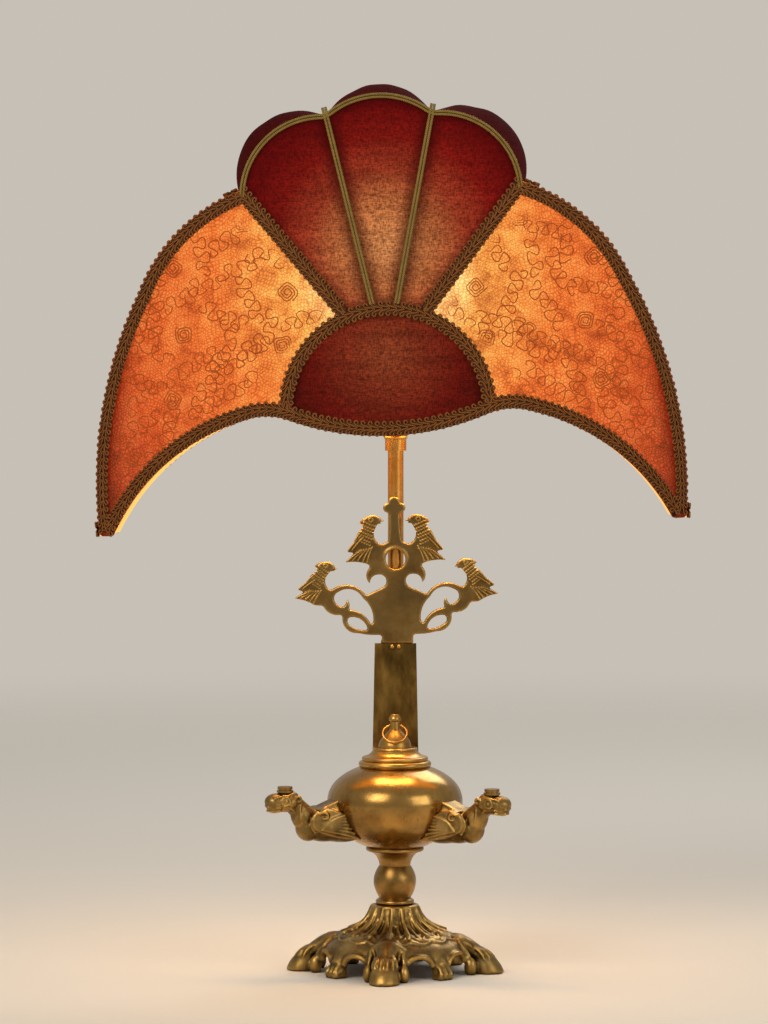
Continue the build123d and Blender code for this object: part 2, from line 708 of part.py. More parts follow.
# Cross ties between the frames and the spider that carries the shade
ties = []
for x, z in ((valley[0], valley[1] - 3.8), (84.0, 497.0), (181.5, 287.0)):
    reach = depth(x, z) - layer_gap - wire_t - 0.05
    for s in (-1, 1):
        ties.append(at_shade * Pos(s * x, 0, z) * Rot(90, 0, 0) * Cylinder(wire_t / 2, 2 * reach))
frame_ties = Compound(children=ties)
spider_ring = ring(15.8, 20.5, seat_z, seat_z + 3.2)
spider = spider_ring
arm_x, arm_z = 58.5, 357.0
arm_y = depth(arm_x, arm_z) - layer_gap - wire_t / 2
for sx in (-1, 1):
    for sy in (-1, 1):
        start = (sx * 12.6, sy * 13.6, seat_z + 1.6)
        end = (at_shade * Pos(sx * arm_x, sy * arm_y, arm_z)).position - Vector(0, tube_y, 0)
        spider += round_bar(start, end, 1.5)
spider -= Pos(0, 0, seat_z + 1) * Cylinder(15.8, 12)

nodes = {
    "base_casting": base_casting,
    "stem_knop": stem_knop,
    "stem_cup": stem_cup,
    "font_bowl": font_bowl,
    "threaded_rod": threaded_rod,
    "base_nut": base_nut,
    "bowl_nut": bowl_nut,
    "cord_bush": cord_bush,
    "lid": lid,
    "lid_ring": lid_ring,
    "back_plate": back_plate,
    "plaque": plaque,
    "plaque_rivets": plaque_rivets,
    "lamp_tube": lamp_tube,
    "tube_socket": tube_socket,
    "tube_clamp": tube_clamp,
    "clamp_screws": clamp_screws,
    "tube_collar": at_tube * tube_collar,
    "holder_cap": at_tube * holder_cap,
    "holder_shell": at_tube * holder_shell,
    "holder_insulator": at_tube * holder_insulator,
    "shade_nut": at_tube * shade_nut,
    "bulb_cap": at_tube * bulb_cap,
    "bulb_glass": at_tube * bulb_glass,
    "shade_spider": at_tube * spider,
    "frame_front": at_shade * frame_front,
    "frame_back": at_shade * mirror(frame_front, Plane.XZ),
    "frame_ties": frame_ties,
}
for name, turn in spout_turns.items():
    nodes["spout_" + name] = Rot(0, 0, turn + lamp_turn) * spout
    nodes["wick_cap_" + name] = Rot(0, 0, turn + lamp_turn) * cap
for name, piece in {**panels, **trims}.items():
    nodes[name + "_front"] = at_shade * piece
    nodes[name + "_back"] = at_shade * mirror(piece, Plane.XZ)
for name, piece in crown_pieces.items():
    nodes["crown_" + name] = at_shade * piece
for name, piece in side_gussets.items():
    nodes["gusset_" + name] = at_shade * piece

for name, shape in nodes.items():
    export_step(shape, "parts/" + name + ".step")
print(len(nodes), "nodes")
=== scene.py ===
import math

import bmesh
import bpy
from mathutils import Matrix, Vector, noise


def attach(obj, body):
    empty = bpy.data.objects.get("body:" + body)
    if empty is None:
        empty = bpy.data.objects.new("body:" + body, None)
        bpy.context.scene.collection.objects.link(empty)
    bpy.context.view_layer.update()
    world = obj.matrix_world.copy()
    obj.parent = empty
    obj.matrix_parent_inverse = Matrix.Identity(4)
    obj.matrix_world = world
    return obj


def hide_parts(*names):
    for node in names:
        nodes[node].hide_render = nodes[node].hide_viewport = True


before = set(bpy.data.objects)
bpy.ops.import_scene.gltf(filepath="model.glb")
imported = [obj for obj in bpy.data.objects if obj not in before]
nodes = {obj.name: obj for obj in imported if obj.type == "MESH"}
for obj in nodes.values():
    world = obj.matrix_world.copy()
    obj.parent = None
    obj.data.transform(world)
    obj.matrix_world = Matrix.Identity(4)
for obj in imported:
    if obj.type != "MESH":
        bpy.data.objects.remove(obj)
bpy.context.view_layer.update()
scene = bpy.context.scene
mm = 0.001
print("frame loaded:", len(nodes), "CAD nodes")


def putInScene(name, data):
    made = bpy.data.objects.new(name, data)
    scene.collection.objects.link(made)
    return made


# the photograph's view: a long lens, a little to the right of the lamp
cameraSet = {"azimuth": 1.0, "away": 2.76, "height": 0.401, "aim": (-0.0069, 0.0, 0.291), "lens": 154.0}
camData = bpy.data.cameras.new("photoCamera")
camData.lens = cameraSet["lens"]
camData.sensor_width = 36.0
camData.clip_end = 50.0
camera = putInScene("photoCamera", camData)
turn = math.radians(cameraSet["azimuth"])
aim = Vector(cameraSet["aim"])
camera.location = (
    aim.x + cameraSet["away"] * math.sin(turn),
    aim.y - cameraSet["away"] * math.cos(turn),
    cameraSet["height"],
)
camera.rotation_euler = (aim - camera.location).to_track_quat("-Z", "Y").to_euler()
scene.camera = camera


# sRGB hex to the linear colour that shaders take
def tint(hexColour):
    parts = [int(hexColour[i : i + 2], 16) / 255 for i in (1, 3, 5)]
    return tuple(c / 12.92 if c <= 0.04045 else ((c + 0.055) / 1.055) ** 2.4 for c in parts) + (1.0,)


# gives a node its inputs: plain values are set, sockets are linked, a node stands for its first output
def feed(tree, made, links):
    for key, value in links.items():
        source = value.outputs[0] if isinstance(value, bpy.types.Node) else value
        if isinstance(source, bpy.types.NodeSocket):
            tree.links.new(source, made.inputs[key])
        else:
            made.inputs[key].default_value = source


# adds one node with its settings and inputs, and with its stops if it is a colour ramp
def add(tree, kind, links=None, stops=(), **settings):
    made = tree.nodes.new("ShaderNode" + kind)
    for key, value in settings.items():
        setattr(made, key, value)
    if stops:
        steps = made.color_ramp.elements
        while len(steps) < len(stops):
            steps.new(0.5)
        for step, (place, colour) in zip(steps, stops):
            step.position = place
            step.color = tint(colour) if isinstance(colour, str) else (colour, colour, colour, 1)
    feed(tree, made, links or {})
    return made


def startMaterial(name):
    mat = bpy.data.materials.new(name)
    mat.use_nodes = True
    tree = mat.node_tree
    shader = tree.nodes["Principled BSDF"]
    coords = add(tree, "TexCoord").outputs["Object"]
    return mat, tree, shader, coords


noiseSpan = {"From Min": 0.3, "From Max": 0.7}  # where most of a noise texture's values lie
waveTurns = 3.18  # stripes of a wave texture in one unit, at scale 1

# cast brass: sand-cast, brown and greenish in the hollows, rubbed bright on what stands out; the brown in the
# hollows is partly grime and partly painted shade from an occlusion node
castSet = {
    "blotch": 0.014, "grit": 0.0014, "stain": 0.03, "crevice": 0.007, "rubbed": "#d2a554", "grimeAndShade": "#2e2310",
}


def castBrass(name, bright, mid, dark, green, wear, stretch=(1.0, 1.0, 1.0)):
    mat, tree, shader, coords = startMaterial(name)
    drawnOut = add(tree, "Mapping", {"Vector": coords, "Scale": stretch})
    blotch = add(
        tree, "TexNoise",
        {"Vector": drawnOut, "Scale": 1 / castSet["blotch"], "Detail": 5.0, "Roughness": 0.6},
    )
    grit = add(tree, "TexNoise", {"Vector": coords, "Scale": 1 / castSet["grit"], "Detail": 3.0})
    stain = add(
        tree, "TexNoise",
        {"Vector": drawnOut, "Scale": 1 / castSet["stain"], "Detail": 3.0, "W": 2.0}, noise_dimensions="4D",
    )
    metal = add(tree, "ValToRGB", {"Fac": blotch}, [(0.3, dark), (0.48, mid), (0.66, bright)])
    greened = add(tree, "ValToRGB", {"Fac": stain}, [(0.5, 0.0), (0.66, 0.55)])
    mixed = add(tree, "MixRGB", {"Fac": greened, "Color1": metal, "Color2": tint(green)})
    edge = add(tree, "NewGeometry").outputs["Pointiness"]
    worn = add(tree, "ValToRGB", {"Fac": edge}, [(0.503, 0.0), (0.555, wear)])
    hollow = add(tree, "ValToRGB", {"Fac": edge}, [(0.42, 0.94 * wear), (0.49, 0.0)])
    rubbed = add(tree, "MixRGB", {"Fac": worn, "Color1": mixed, "Color2": tint(castSet["rubbed"])})
    # painted shade: an ambient occlusion node darkens crevices and corners towards the grime colour, on top
    # of the grime that pointiness puts in the hollows
    nearby = add(tree, "AmbientOcclusion", {"Distance": castSet["crevice"]}, samples=6)
    occlusionShade = add(tree, "ValToRGB", {"Fac": nearby.outputs["AO"]}, [(0.3, 0.9), (0.78, 0.0)])
    grimeShadeMask = add(tree, "Math", {0: hollow, 1: occlusionShade}, operation="MAXIMUM")
    sunk = add(tree, "MixRGB", {"Fac": grimeShadeMask, "Color1": rubbed, "Color2": tint(castSet["grimeAndShade"])})
    rough = add(tree, "MapRange", {"Value": blotch, **noiseSpan, "To Min": 0.5, "To Max": 0.27})
    bump = add(tree, "Bump", {"Height": grit, "Strength": 0.35, "Distance": 0.0003})
    feed(tree, shader, {"Base Color": sunk, "Roughness": rough, "Normal": bump, "Metallic": 1.0})
    return mat


# turned and polished brass: faint lathe lines, rubbing marks and thin brown tarnish
turnedSet = {"cloud": 0.022, "lathe": 0.004, "speck": 0.006, "tarnish": "#5f4520"}


def turnedBrass(name, bright, dark, shine, stretch=(1.0, 1.0, 6.0)):
    mat, tree, shader, coords = startMaterial(name)
    lathe = add(tree, "Mapping", {"Vector": coords, "Scale": stretch})
    cloud = add(
        tree, "TexNoise",
        {"Vector": coords, "Scale": 1 / turnedSet["cloud"], "Detail": 6.0, "Roughness": 0.62},
    )
    rings = add(tree, "TexNoise", {"Vector": lathe, "Scale": 1 / turnedSet["lathe"], "Detail": 4.0})
    specks = add(tree, "TexVoronoi", {"Vector": coords, "Scale": 1 / turnedSet["speck"], "Randomness": 1.0})
    tone = add(tree, "ValToRGB", {"Fac": cloud}, [(0.32, dark), (0.62, bright)])
    spot = add(tree, "ValToRGB", {"Fac": specks}, [(0.05, 0.5), (0.16, 0.0)])
    marked = add(tree, "MixRGB", {"Fac": spot, "Color1": tone, "Color2": tint(turnedSet["tarnish"])})
    rough = add(tree, "MapRange", {"Value": cloud, **noiseSpan, "To Min": shine + 0.16, "To Max": shine})
    bump = add(tree, "Bump", {"Height": rings, "Strength": 0.12, "Distance": 0.0002})
    feed(tree, shader, {"Base Color": marked, "Roughness": rough, "Normal": bump, "Metallic": 1.0})
    return mat


# lit cloth: colour falls off with the distance from the bulb behind it
bulbSpot = (0.0, 0.0319, 0.430)


def bulbGlow(tree, coords, centre, near, far, stops):
    away = add(tree, "VectorMath", {0: coords, 1: centre}, operation="DISTANCE").outputs["Value"]
    part = add(tree, "MapRange", {"Value": away, "From Min": near, "From Max": far})
    return add(tree, "ValToRGB", {"Fac": part}, stops)


def inPlane(tree, coords):
    return add(tree, "VectorMath", {0: coords, 1: (1.0, 0.0, 1.0)}, operation="MULTIPLY")


# the silk lining on the inner side of every cloth, bright under the bulb: its glow is painted as emission on
# the back faces
def linedWith(tree, outerColour, liningGlow):
    inner = add(tree, "NewGeometry").outputs["Backfacing"]
    return add(tree, "MixRGB", {"Fac": inner, "Color1": outerColour, "Color2": tint(liningGlow)})


# silk velvet: dense short pile with a ribbed ground, light pricks through the ground; the bulb's light
# through the cloth is painted as emission, with painted shade near the seams
velvetSet = {"thread": 0.0008, "slub": 0.0045, "cloud": 0.03, "groove": "#140202", "liningGlow": "#f2a866"}


def velvetMaterial(name, glowAt, near, far, stops, pile):
    mat, tree, shader, coords = startMaterial(name)
    threads = []
    for stretch in ((1.0, 1.0, 0.3), (0.3, 0.3, 1.0)):  # warp, then weft
        drawnOut = add(tree, "Mapping", {"Vector": coords, "Scale": stretch})
        fine = {"Vector": drawnOut, "Scale": 1 / velvetSet["thread"], "Detail": 3.0}
        threads.append(add(tree, "TexNoise", fine))
    cloud = add(tree, "TexNoise", {"Vector": coords, "Scale": 1 / velvetSet["cloud"], "Detail": 4.0})
    glow = bulbGlow(tree, inPlane(tree, coords), glowAt, near, far, stops)
    weave = add(tree, "Math", {0: threads[0], 1: threads[1]}, operation="ADD")
    level = add(
        tree, "MapRange",
        {"Value": weave, "From Min": 0.76, "From Max": 1.24, "To Min": 0.42, "To Max": 1.62},
    )
    weftwise = add(tree, "Mapping", {"Vector": coords, "Scale": (0.09, 0.09, 1.0)})
    slub = add(
        tree, "TexNoise",
        {"Vector": weftwise, "Scale": 1 / velvetSet["slub"], "Detail": 5.0, "Roughness": 0.65},
    )
    # painted shade: the velvet's glow darkens near its seams, where the wires and seam allowance stand
    # between the cloth and the bulb
    rim = add(tree, "Attribute", attribute_name="rim").outputs["Fac"]
    slubbed = add(tree, "MapRange", {"Value": slub, **noiseSpan, "To Min": 0.74, "To Max": 1.26})
    cloudy = add(tree, "MapRange", {"Value": cloud, **noiseSpan, "To Min": 0.86, "To Max": 1.14})
    shaded = add(tree, "ValToRGB", {"Fac": rim}, [(0.25, 0.28), (0.8, 1.0)])
    for part in (slubbed, cloudy, shaded):
        level = add(tree, "Math", {0: level, 1: part}, operation="MULTIPLY")
    paintedGlow = add(tree, "VectorMath", {0: glow, "Scale": level}, operation="SCALE")
    bump = add(tree, "Bump", {"Height": weave, "Strength": 0.3, "Distance": 0.0003})
    base = add(tree, "ValToRGB", {"Fac": weave}, [(0.35, velvetSet["groove"]), (0.65, pile)])
    lit = linedWith(tree, paintedGlow, velvetSet["liningGlow"])
    feed(tree, shader, {"Base Color": base, "Normal": bump, "Roughness": 0.9, "Specular IOR Level": 0.02})
    feed(tree, shader, {"Emission Color": lit, "Emission Strength": 1.0})
    return mat


# cotton lace on amber silk: a fine net, drawn 1.9 mm wide so that it shows, and clouds of denser thread; the
# bulb's light through it is painted as emission, with painted shade along the outer edge
laceSet = {
    "net": 0.0019, "leans": (0.0, 62.0, 118.0), "wobble": 0.014, "shift": 0.012, "clump": 0.016,
    "glowAt": (-0.004, 0.0, 0.440), "near": 0.03, "far": 0.24, "liningGlow": "#ffbf62",
    "glow": [
        (0.05, "#ffd988"), (0.14, "#f2b558"), (0.38, "#e8853b"),
        (0.7, "#ca5b29"), (0.88, "#a53c22"), (1.0, "#7c2a17"),
    ],
}


def laceMaterial(name):
    mat, tree, shader, coords = startMaterial(name)
    flat = inPlane(tree, coords)
    glow = bulbGlow(tree, flat, laceSet["glowAt"], laceSet["near"], laceSet["far"], laceSet["glow"])
    wobble = add(tree, "TexNoise", {"Vector": coords, "Scale": 1 / laceSet["wobble"], "Detail": 3.0})
    shift = {0: wobble.outputs["Color"], "Scale": laceSet["shift"]}
    bent = add(tree, "VectorMath", shift, operation="SCALE")
    moved = add(tree, "VectorMath", {0: coords, 1: bent}, operation="ADD")
    net = (1, 1, 1, 1)
    for lean in laceSet["leans"]:
        way = (0.0, math.radians(lean), 0.0)
        turned = add(tree, "Mapping", {"Vector": moved, "Rotation": way})
        wave = add(
            tree, "TexWave",
            {"Vector": turned, "Scale": 1 / (laceSet["net"] * waveTurns), "Distortion": 2.4, "Detail": 1.5},
            bands_direction="X",
        )
        threads = add(tree, "ValToRGB", {"Fac": wave.outputs["Fac"]}, [(0.0, 0.0), (0.3, 1.0)])
        both = {"Fac": 1.0, "Color1": net, "Color2": threads}
        net = add(tree, "MixRGB", both, blend_type="DARKEN")
    dense = add(
        tree, "TexNoise",
        {"Vector": coords, "Scale": 1 / laceSet["clump"], "Detail": 8.0, "Roughness": 0.72},
    )
    clumpStops = [(0.4, "#ffffff"), (0.52, "#edc4b0"), (0.67, "#a66450")]
    clump = add(tree, "ValToRGB", {"Fac": dense}, clumpStops)
    # painted shade: the lace's glow darkens to red-brown along its outer edge, next to the gimp
    across = add(tree, "Attribute", attribute_name="across").outputs["Fac"]
    outerEdgeShadeStops = [(0.0, "#ffffff"), (0.82, "#ffffff"), (0.92, "#b0654f")]
    seam = add(tree, "ValToRGB", {"Fac": across}, outerEdgeShadeStops)
    for part, strength in ((clump, 0.9), (seam, 1.0)):
        shaded = {"Fac": strength, "Color1": glow, "Color2": part}
        glow = add(tree, "MixRGB", shaded, blend_type="MULTIPLY")
    thread = add(tree, "MapRange", {"Value": net, "To Min": 0.62, "To Max": 1.12})
    paintedGlow = add(tree, "VectorMath", {0: glow, "Scale": thread}, operation="SCALE")
    base = add(tree, "ValToRGB", {"Fac": net}, [(0.0, "#4a2410"), (1.0, "#6a3616")])
    bump = add(tree, "Bump", {"Height": net, "Strength": 0.3, "Distance": 0.0003}, invert=True)
    lit = linedWith(tree, paintedGlow, laceSet["liningGlow"])
    feed(tree, shader, {"Base Color": base, "Normal": bump, "Roughness": 0.85, "Specular IOR Level": 0.15})
    feed(tree, shader, {"Emission Color": lit, "Emission Strength": 1.25})
    return mat


# viscose yarn: gimp loops and cords are tightly twisted, so fine slanted lines of light and dark
yarnSet = {"twist": 0.0009, "slant": 35.0, "fuzz": 0.006}


def yarnMaterial(name, light, dark, glow=0.0):
    mat, tree, shader, coords = startMaterial(name)
    way = (0.0, math.radians(yarnSet["slant"]), 0.0)
    slant = add(tree, "Mapping", {"Vector": coords, "Rotation": way})
    twist = add(
        tree, "TexWave",
        {"Vector": slant, "Scale": 1 / (yarnSet["twist"] * waveTurns), "Distortion": 3.0, "Detail": 2.0},
    )
    fuzz = add(tree, "TexNoise", {"Vector": coords, "Scale": 1 / yarnSet["fuzz"], "Detail": 4.0})
    both = add(tree, "MixRGB", {"Fac": 0.5, "Color1": twist, "Color2": fuzz.outputs["Color"]})
    tone = add(tree, "ValToRGB", {"Fac": both}, [(0.25, dark), (0.7, light)])
    bump = add(tree, "Bump", {"Height": twist.outputs["Fac"], "Strength": 0.4, "Distance": 0.0002})
    feed(tree, shader, {"Base Color": tone, "Normal": bump, "Roughness": 0.6, "Specular IOR Level": 0.2})
    if glow:
        feed(tree, shader, {"Emission Color": tone, "Emission Strength": glow})
    return mat


# plain workshop finishes for what is inside: enamel, moulding, fired clay, rolled and plated steel
def workshopFinish(name, light, dark, metallic, rough, grain):
    mat, tree, shader, coords = startMaterial(name)
    cloud = add(tree, "TexNoise", {"Vector": coords, "Scale": 1 / grain, "Detail": 5.0})
    tone = add(tree, "ValToRGB", {"Fac": cloud}, [(0.35, dark), (0.6, light)])
    level = add(tree, "MapRange", {"Value": cloud, **noiseSpan, "To Min": rough + 0.12, "To Max": rough})
    bump = add(tree, "Bump", {"Height": cloud, "Strength": 0.15, "Distance": 0.0003})
    feed(tree, shader, {"Base Color": tone, "Roughness": level, "Normal": bump, "Metallic": metallic})
    return mat


# frosted bulb glass, lit from inside: evenly warm with a brighter waist
def frostedBulb(name):
    mat, tree, shader, coords = startMaterial(name)
    glow = bulbGlow(tree, coords, (0.0, 0.0319, 0.436), 0.0, 0.045, [(0.0, "#fff1cf"), (1.0, "#ffd08a")])
    frost = add(tree, "TexNoise", {"Vector": coords, "Scale": 1 / 0.001, "Detail": 3.0})
    bump = add(tree, "Bump", {"Height": frost, "Strength": 0.1, "Distance": 0.0002})
    feed(tree, shader, {"Base Color": glow, "Normal": bump, "Roughness": 0.35})
    feed(tree, shader, {"Emission Color": glow, "Emission Strength": 1.6})
    return mat


castBrassMat = castBrass(
    "castBrassRubbed", bright="#b08e52", mid="#83683a", dark="#463720", green="#62593a", wear=0.8
)
plaqueMat = castBrass(
    "castBrassFiled", bright="#8f7140", mid="#775b31", dark="#584324", green="#665838", wear=0.95
)
plateMat = castBrass(
    "rolledBrassStained", bright="#9c783c", mid="#6e5226", dark="#3a2a10", green="#3c3318", wear=0.0,
    stretch=(1.3, 1.3, 0.55),
)
bowlMat = turnedBrass("spunBrassPolished", bright="#b18a4a", dark="#7c5e33", shine=0.17)
# the lid's brass is set lighter than the other turned brass, partly a painted highlight of the bulb's light
# falling on it from above
lidMat = turnedBrass("turnedBrassLidBulbLit", bright="#c59a50", dark="#876230", shine=0.22)
turnedMat = turnedBrass("turnedBrassTarnished", bright="#a98449", dark="#6c5129", shine=0.24)
# the tube's brass is set lighter and warmer, partly painted light from the bulb just above it
tubeMat = turnedBrass("drawnBrassTube", bright="#d99c4e", dark="#b0742f", shine=0.22, stretch=(6.0, 6.0, 0.3))
lacePanelMat = laceMaterial("cottonLaceOverSilk")
fanGlow, moonGlow = (-0.005, 0.0, 0.457), (-0.005, 0.0, 0.390)
fanMat = velvetMaterial(
    "silkVelvetFan", fanGlow, 0.0, 0.09,
    [(0.0, "#b67745"), (0.33, "#9c5a30"), (0.55, "#81301a"), (0.78, "#660f08"), (1.0, "#480303")],
    pile="#380808",
)
crownMat = velvetMaterial(
    "silkVelvetCrown", fanGlow, 0.05, 0.12, [(0.0, "#4a0b08"), (1.0, "#2c0504")], pile="#200304"
)
moonMat = velvetMaterial(
    "silkVelvetMoon", moonGlow, 0.0, 0.065,
    [(0.0, "#7a381d"), (0.35, "#692512"), (0.7, "#520c05"), (1.0, "#3a0402")],
    pile="#2c0c09",
)
gimpMat = yarnMaterial("viscoseGimpBronze", "#925a26", "#4e2c10")
backingMat = yarnMaterial("viscoseGimpGround", "#563214", "#341c0a")
oliveMat = yarnMaterial("viscoseCordOlive", "#927a3c", "#564318")
# the soutache emits too: painted glow of the bulb's light through the lace under it
soutacheMat = yarnMaterial("cottonSoutache", "#9a4a1a", "#702f0e", glow=0.5)
enamelMat = workshopFinish("enamelledWireCream", "#cdbd98", "#a8966e", 0.0, 0.45, 0.008)
bakeliteMat = workshopFinish("mouldedBakelite", "#2a1a10", "#140c07", 0.0, 0.3, 0.01)
porcelainMat = workshopFinish("firedPorcelain", "#e6e1d4", "#cfc8b8", 0.0, 0.35, 0.012)
nickelMat = workshopFinish("rolledNickel", "#b9b4a8", "#8f8a80", 1.0, 0.28, 0.006)
steelMat = workshopFinish("zincPlatedSteel", "#a9a7a2", "#7f7d78", 1.0, 0.35, 0.006)
bulbMat = frostedBulb("frostedGlassLit")
print("materials made:", len(bpy.data.materials))

# finishes of the CAD nodes that stay
finishes = {
    plateMat: ["back_plate"],
    bowlMat: ["font_bowl"],
    lidMat: ["lid", "lid_ring"],
    turnedMat: [
        "stem_knop", "stem_cup", "tube_socket", "tube_clamp", "clamp_screws", "plaque_rivets",
        "wick_cap_left", "wick_cap_right", "wick_cap_rear",
    ],
    tubeMat: ["lamp_tube", "tube_collar", "holder_cap", "holder_shell"],
    enamelMat: ["shade_spider", "frame_front", "frame_back", "frame_ties"],
    bakeliteMat: ["cord_bush", "shade_nut"],
    porcelainMat: ["holder_insulator"],
    nickelMat: ["bulb_cap"],
    steelMat: ["threaded_rod", "base_nut", "bowl_nut"],
    bulbMat: ["bulb_glass"],
}
for mat, names in finishes.items():
    for name in names:
        nodes[name].data.materials.clear()
        nodes[name].data.materials.append(mat)

# the shade's surface: a lens in plan that narrows upwards, in millimetres
tubeY = 31.9
shadeShape = {"half": 190.0, "edge": 15.0, "low": 70.0, "top": 17.0, "lowZ": 280.0, "topZ": 560.0}


def depthAt(x, z):
    part = (z - shadeShape["lowZ"]) / (shadeShape["topZ"] - shadeShape["lowZ"])
    bulge = shadeShape["low"] + part * (shadeShape["top"] - shadeShape["low"])
    return shadeShape["edge"] + bulge * (1 - (x / shadeShape["half"]) ** 2)


# the whole shade leans and hangs a little to the left on its spider, as it does in the photograph
hang = {"left": 0.0045, "pivotZ": 0.371, "lean": -1.9}
leanShade = (
    Matrix.Translation((-hang["left"], 0, hang["pivotZ"]))
    @ Matrix.Rotation(math.radians(hang["lean"]), 4, "Y")
    @ Matrix.Translation((0, 0, -hang["pivotZ"]))
)


def onShade(x, z, out, face):
    return Vector((x, tubeY - face * (depthAt(x, z) + out), z)) * mm


def outwards(x, z, face):
    dx = onShade(x + 0.5, z, 0, face) - onShade(x - 0.5, z, 0, face)
    dz = onShade(x, z + 0.5, 0, face) - onShade(x, z - 0.5, 0, face)
    return (dx.cross(dz) * face).normalized()


# a line drawn on the flat pattern: straight runs and arcs through three points, read by its length
def arcRun(a, b, c, count=24):
    ax, az, bx, bz, cx, cz = *a, *b, *c
    d = 2 * (ax * (bz - cz) + bx * (cz - az) + cx * (az - bz))
    ux = ((ax**2 + az**2) * (bz - cz) + (bx**2 + bz**2) * (cz - az) + (cx**2 + cz**2) * (az - bz)) / d
    uz = ((ax**2 + az**2) * (cx - bx) + (bx**2 + bz**2) * (ax - cx) + (cx**2 + cz**2) * (bx - ax)) / d
    radius = math.hypot(ax - ux, az - uz)
    first, middle, last = (math.atan2(p[1] - uz, p[0] - ux) for p in (a, b, c))
    toMid = (middle - first) % math.tau
    toLast = (last - first) % math.tau
    if toMid > toLast:
        toLast -= math.tau
    turns = [first + toLast * k / count for k in range(count + 1)]
    return [(ux + radius * math.cos(a), uz + radius * math.sin(a)) for a in turns]


def drawn(*runs):
    points = []
    for run in runs:
        points += arcRun(*run) if len(run) == 3 else list(run)
    kept = [points[0]]
    for p in points[1:]:
        if math.dist(p, kept[-1]) > 1e-6:
            kept.append(p)
    along = [0.0]
    for a, b in zip(kept, kept[1:]):
        along.append(along[-1] + math.dist(a, b))

    def at(t):
        want = min(max(t, 0.0), 1.0) * along[-1]
        for k in range(1, len(kept)):
            if along[k] >= want or k == len(kept) - 1:
                part = (want - along[k - 1]) / max(along[k] - along[k - 1], 1e-9)
                return tuple(p + (q - p) * part for p, q in zip(kept[k - 1], kept[k]))

    return at


def flipped(line, side):
    return (lambda t: (side * line(t)[0], line(t)[1]))


def mirrored(point):
    return (-point[0], point[1])


# the pattern's corners and the middles of its arcs, right half, in millimetres
archR, archZ, lowAngle = 63.5, 355.5, -3.2
valley, corner, vFoot, ribFoot = (33.4, 542.3), (88.5, 496.0), (23.6, 414.4), (7.0, 418.6)
crownTop, lobeTop = (0, 554.6), (72.0, 530.0)
shoulder, shoulderMid, edgeMid = (155.0, 434.0), (128.5, 472.0), (181.6, 360.0)
tipOut, tipMid, tipIn = (186.0, 281.0), (181.5, 281.0), (177.0, 281.0)
wingLow, dipEnd, dipMid = (140.0, 326.5), (90.0, 352.0), (77.0, 354.3)
moonEnd, moonLow = (63.0, 352.0), (0, 340.0)


def onArch(degrees):
    return (archR * math.cos(math.radians(degrees)), archZ + archR * math.sin(math.radians(degrees)))


vAngle = math.degrees(math.atan2(vFoot[1] - archZ, vFoot[0]))
ribAngle = math.degrees(math.atan2(ribFoot[1] - archZ, ribFoot[0]))
patterns = {
    "fan_centre": {
        "low": drawn((onArch(180 - ribAngle), (0, archZ + archR), onArch(ribAngle))),
        "high": drawn((mirrored(valley), crownTop, valley)),
        "left": drawn((mirrored(ribFoot), mirrored(valley))),
        "right": drawn((ribFoot, valley)),
        "cuts": (22, 54), "mat": fanMat, "sag": 1.6, "flat": (0.070, 0.140), "area": 0.0058,
    },
    "fan_side": {
        "low": drawn((onArch(ribAngle), onArch((ribAngle + vAngle) / 2), onArch(vAngle))),
        "high": drawn((valley, lobeTop, corner)),
        "left": drawn((ribFoot, valley)),
        "right": drawn((vFoot, corner)),
        "cuts": (26, 54), "mat": fanMat, "sag": 1.8, "flat": (0.076, 0.132), "area": 0.0054,
    },
    "half_moon": {
        "low": drawn((mirrored(moonEnd), moonLow, moonEnd)),
        "high": drawn((onArch(135), onArch(90), onArch(45))),
        "left": drawn((onArch(180 - lowAngle), onArch(160), onArch(135))),
        "right": drawn((onArch(lowAngle), onArch(20), onArch(45))),
        "cuts": (48, 30), "mat": moonMat, "sag": 1.4, "flat": (0.130, 0.080), "area": 0.0075,
    },
    "wing": {
        "low": drawn((moonEnd, dipMid, dipEnd), (dipEnd, wingLow, tipIn), (tipIn, tipMid)),
        "high": drawn((corner, shoulderMid, shoulder)),
        "left": drawn((onArch(lowAngle), onArch(35), onArch(vAngle)), (vFoot, corner)),
        "right": drawn((tipMid, tipOut), (tipOut, edgeMid, shoulder)),
        "cuts": (56, 56), "mat": lacePanelMat, "sag": 2.2, "flat": (0.190, 0.220), "area": 0.0195,
    },
}


def onPattern(pattern, u, w):
    low, high, left, right = pattern["low"], pattern["high"], pattern["left"], pattern["right"]
    edges = zip(low(u), high(u), left(w), right(w), low(0), low(1), high(0), high(1))
    return tuple(
        (1 - w) * a + w * b + (1 - u) * c + u * d
        - (1 - u) * (1 - w) * p - u * (1 - w) * q - (1 - u) * w * r - u * w * t
        for a, b, c, d, p, q, r, t in edges
    )


# turns a sheet's faces so that they look along an axis, up it or down it
def faceOutwards(bm, axis, way):
    bmesh.ops.recalc_face_normals(bm, faces=bm.faces)
    if sum(f.normal[axis] * f.calc_area() for f in bm.faces) * way < 0:
        bmesh.ops.reverse_faces(bm, faces=bm.faces)


def finishPiece(name, bm, mat, body, *replaced):
    if body == "shade":
        bmesh.ops.transform(bm, matrix=leanShade, verts=bm.verts)
    for f in bm.faces:
        f.smooth = True
    mesh = bpy.data.meshes.new(name)
    bm.to_mesh(mesh)
    bm.free()
    mesh.materials.append(mat)
    obj = putInScene(name, mesh)
    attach(obj, body)
    if replaced:
        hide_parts(*replaced)
    return obj


# cloth stretched between its four seams: a grid bent to the pattern, sunk a little between the wires; each
# point also keeps its distance to the seams, the mask for the velvet's painted shade along them
clothSet = {"out": 0.7, "rim": 12.0, "gather": 0.8, "gussetSink": 1.8}


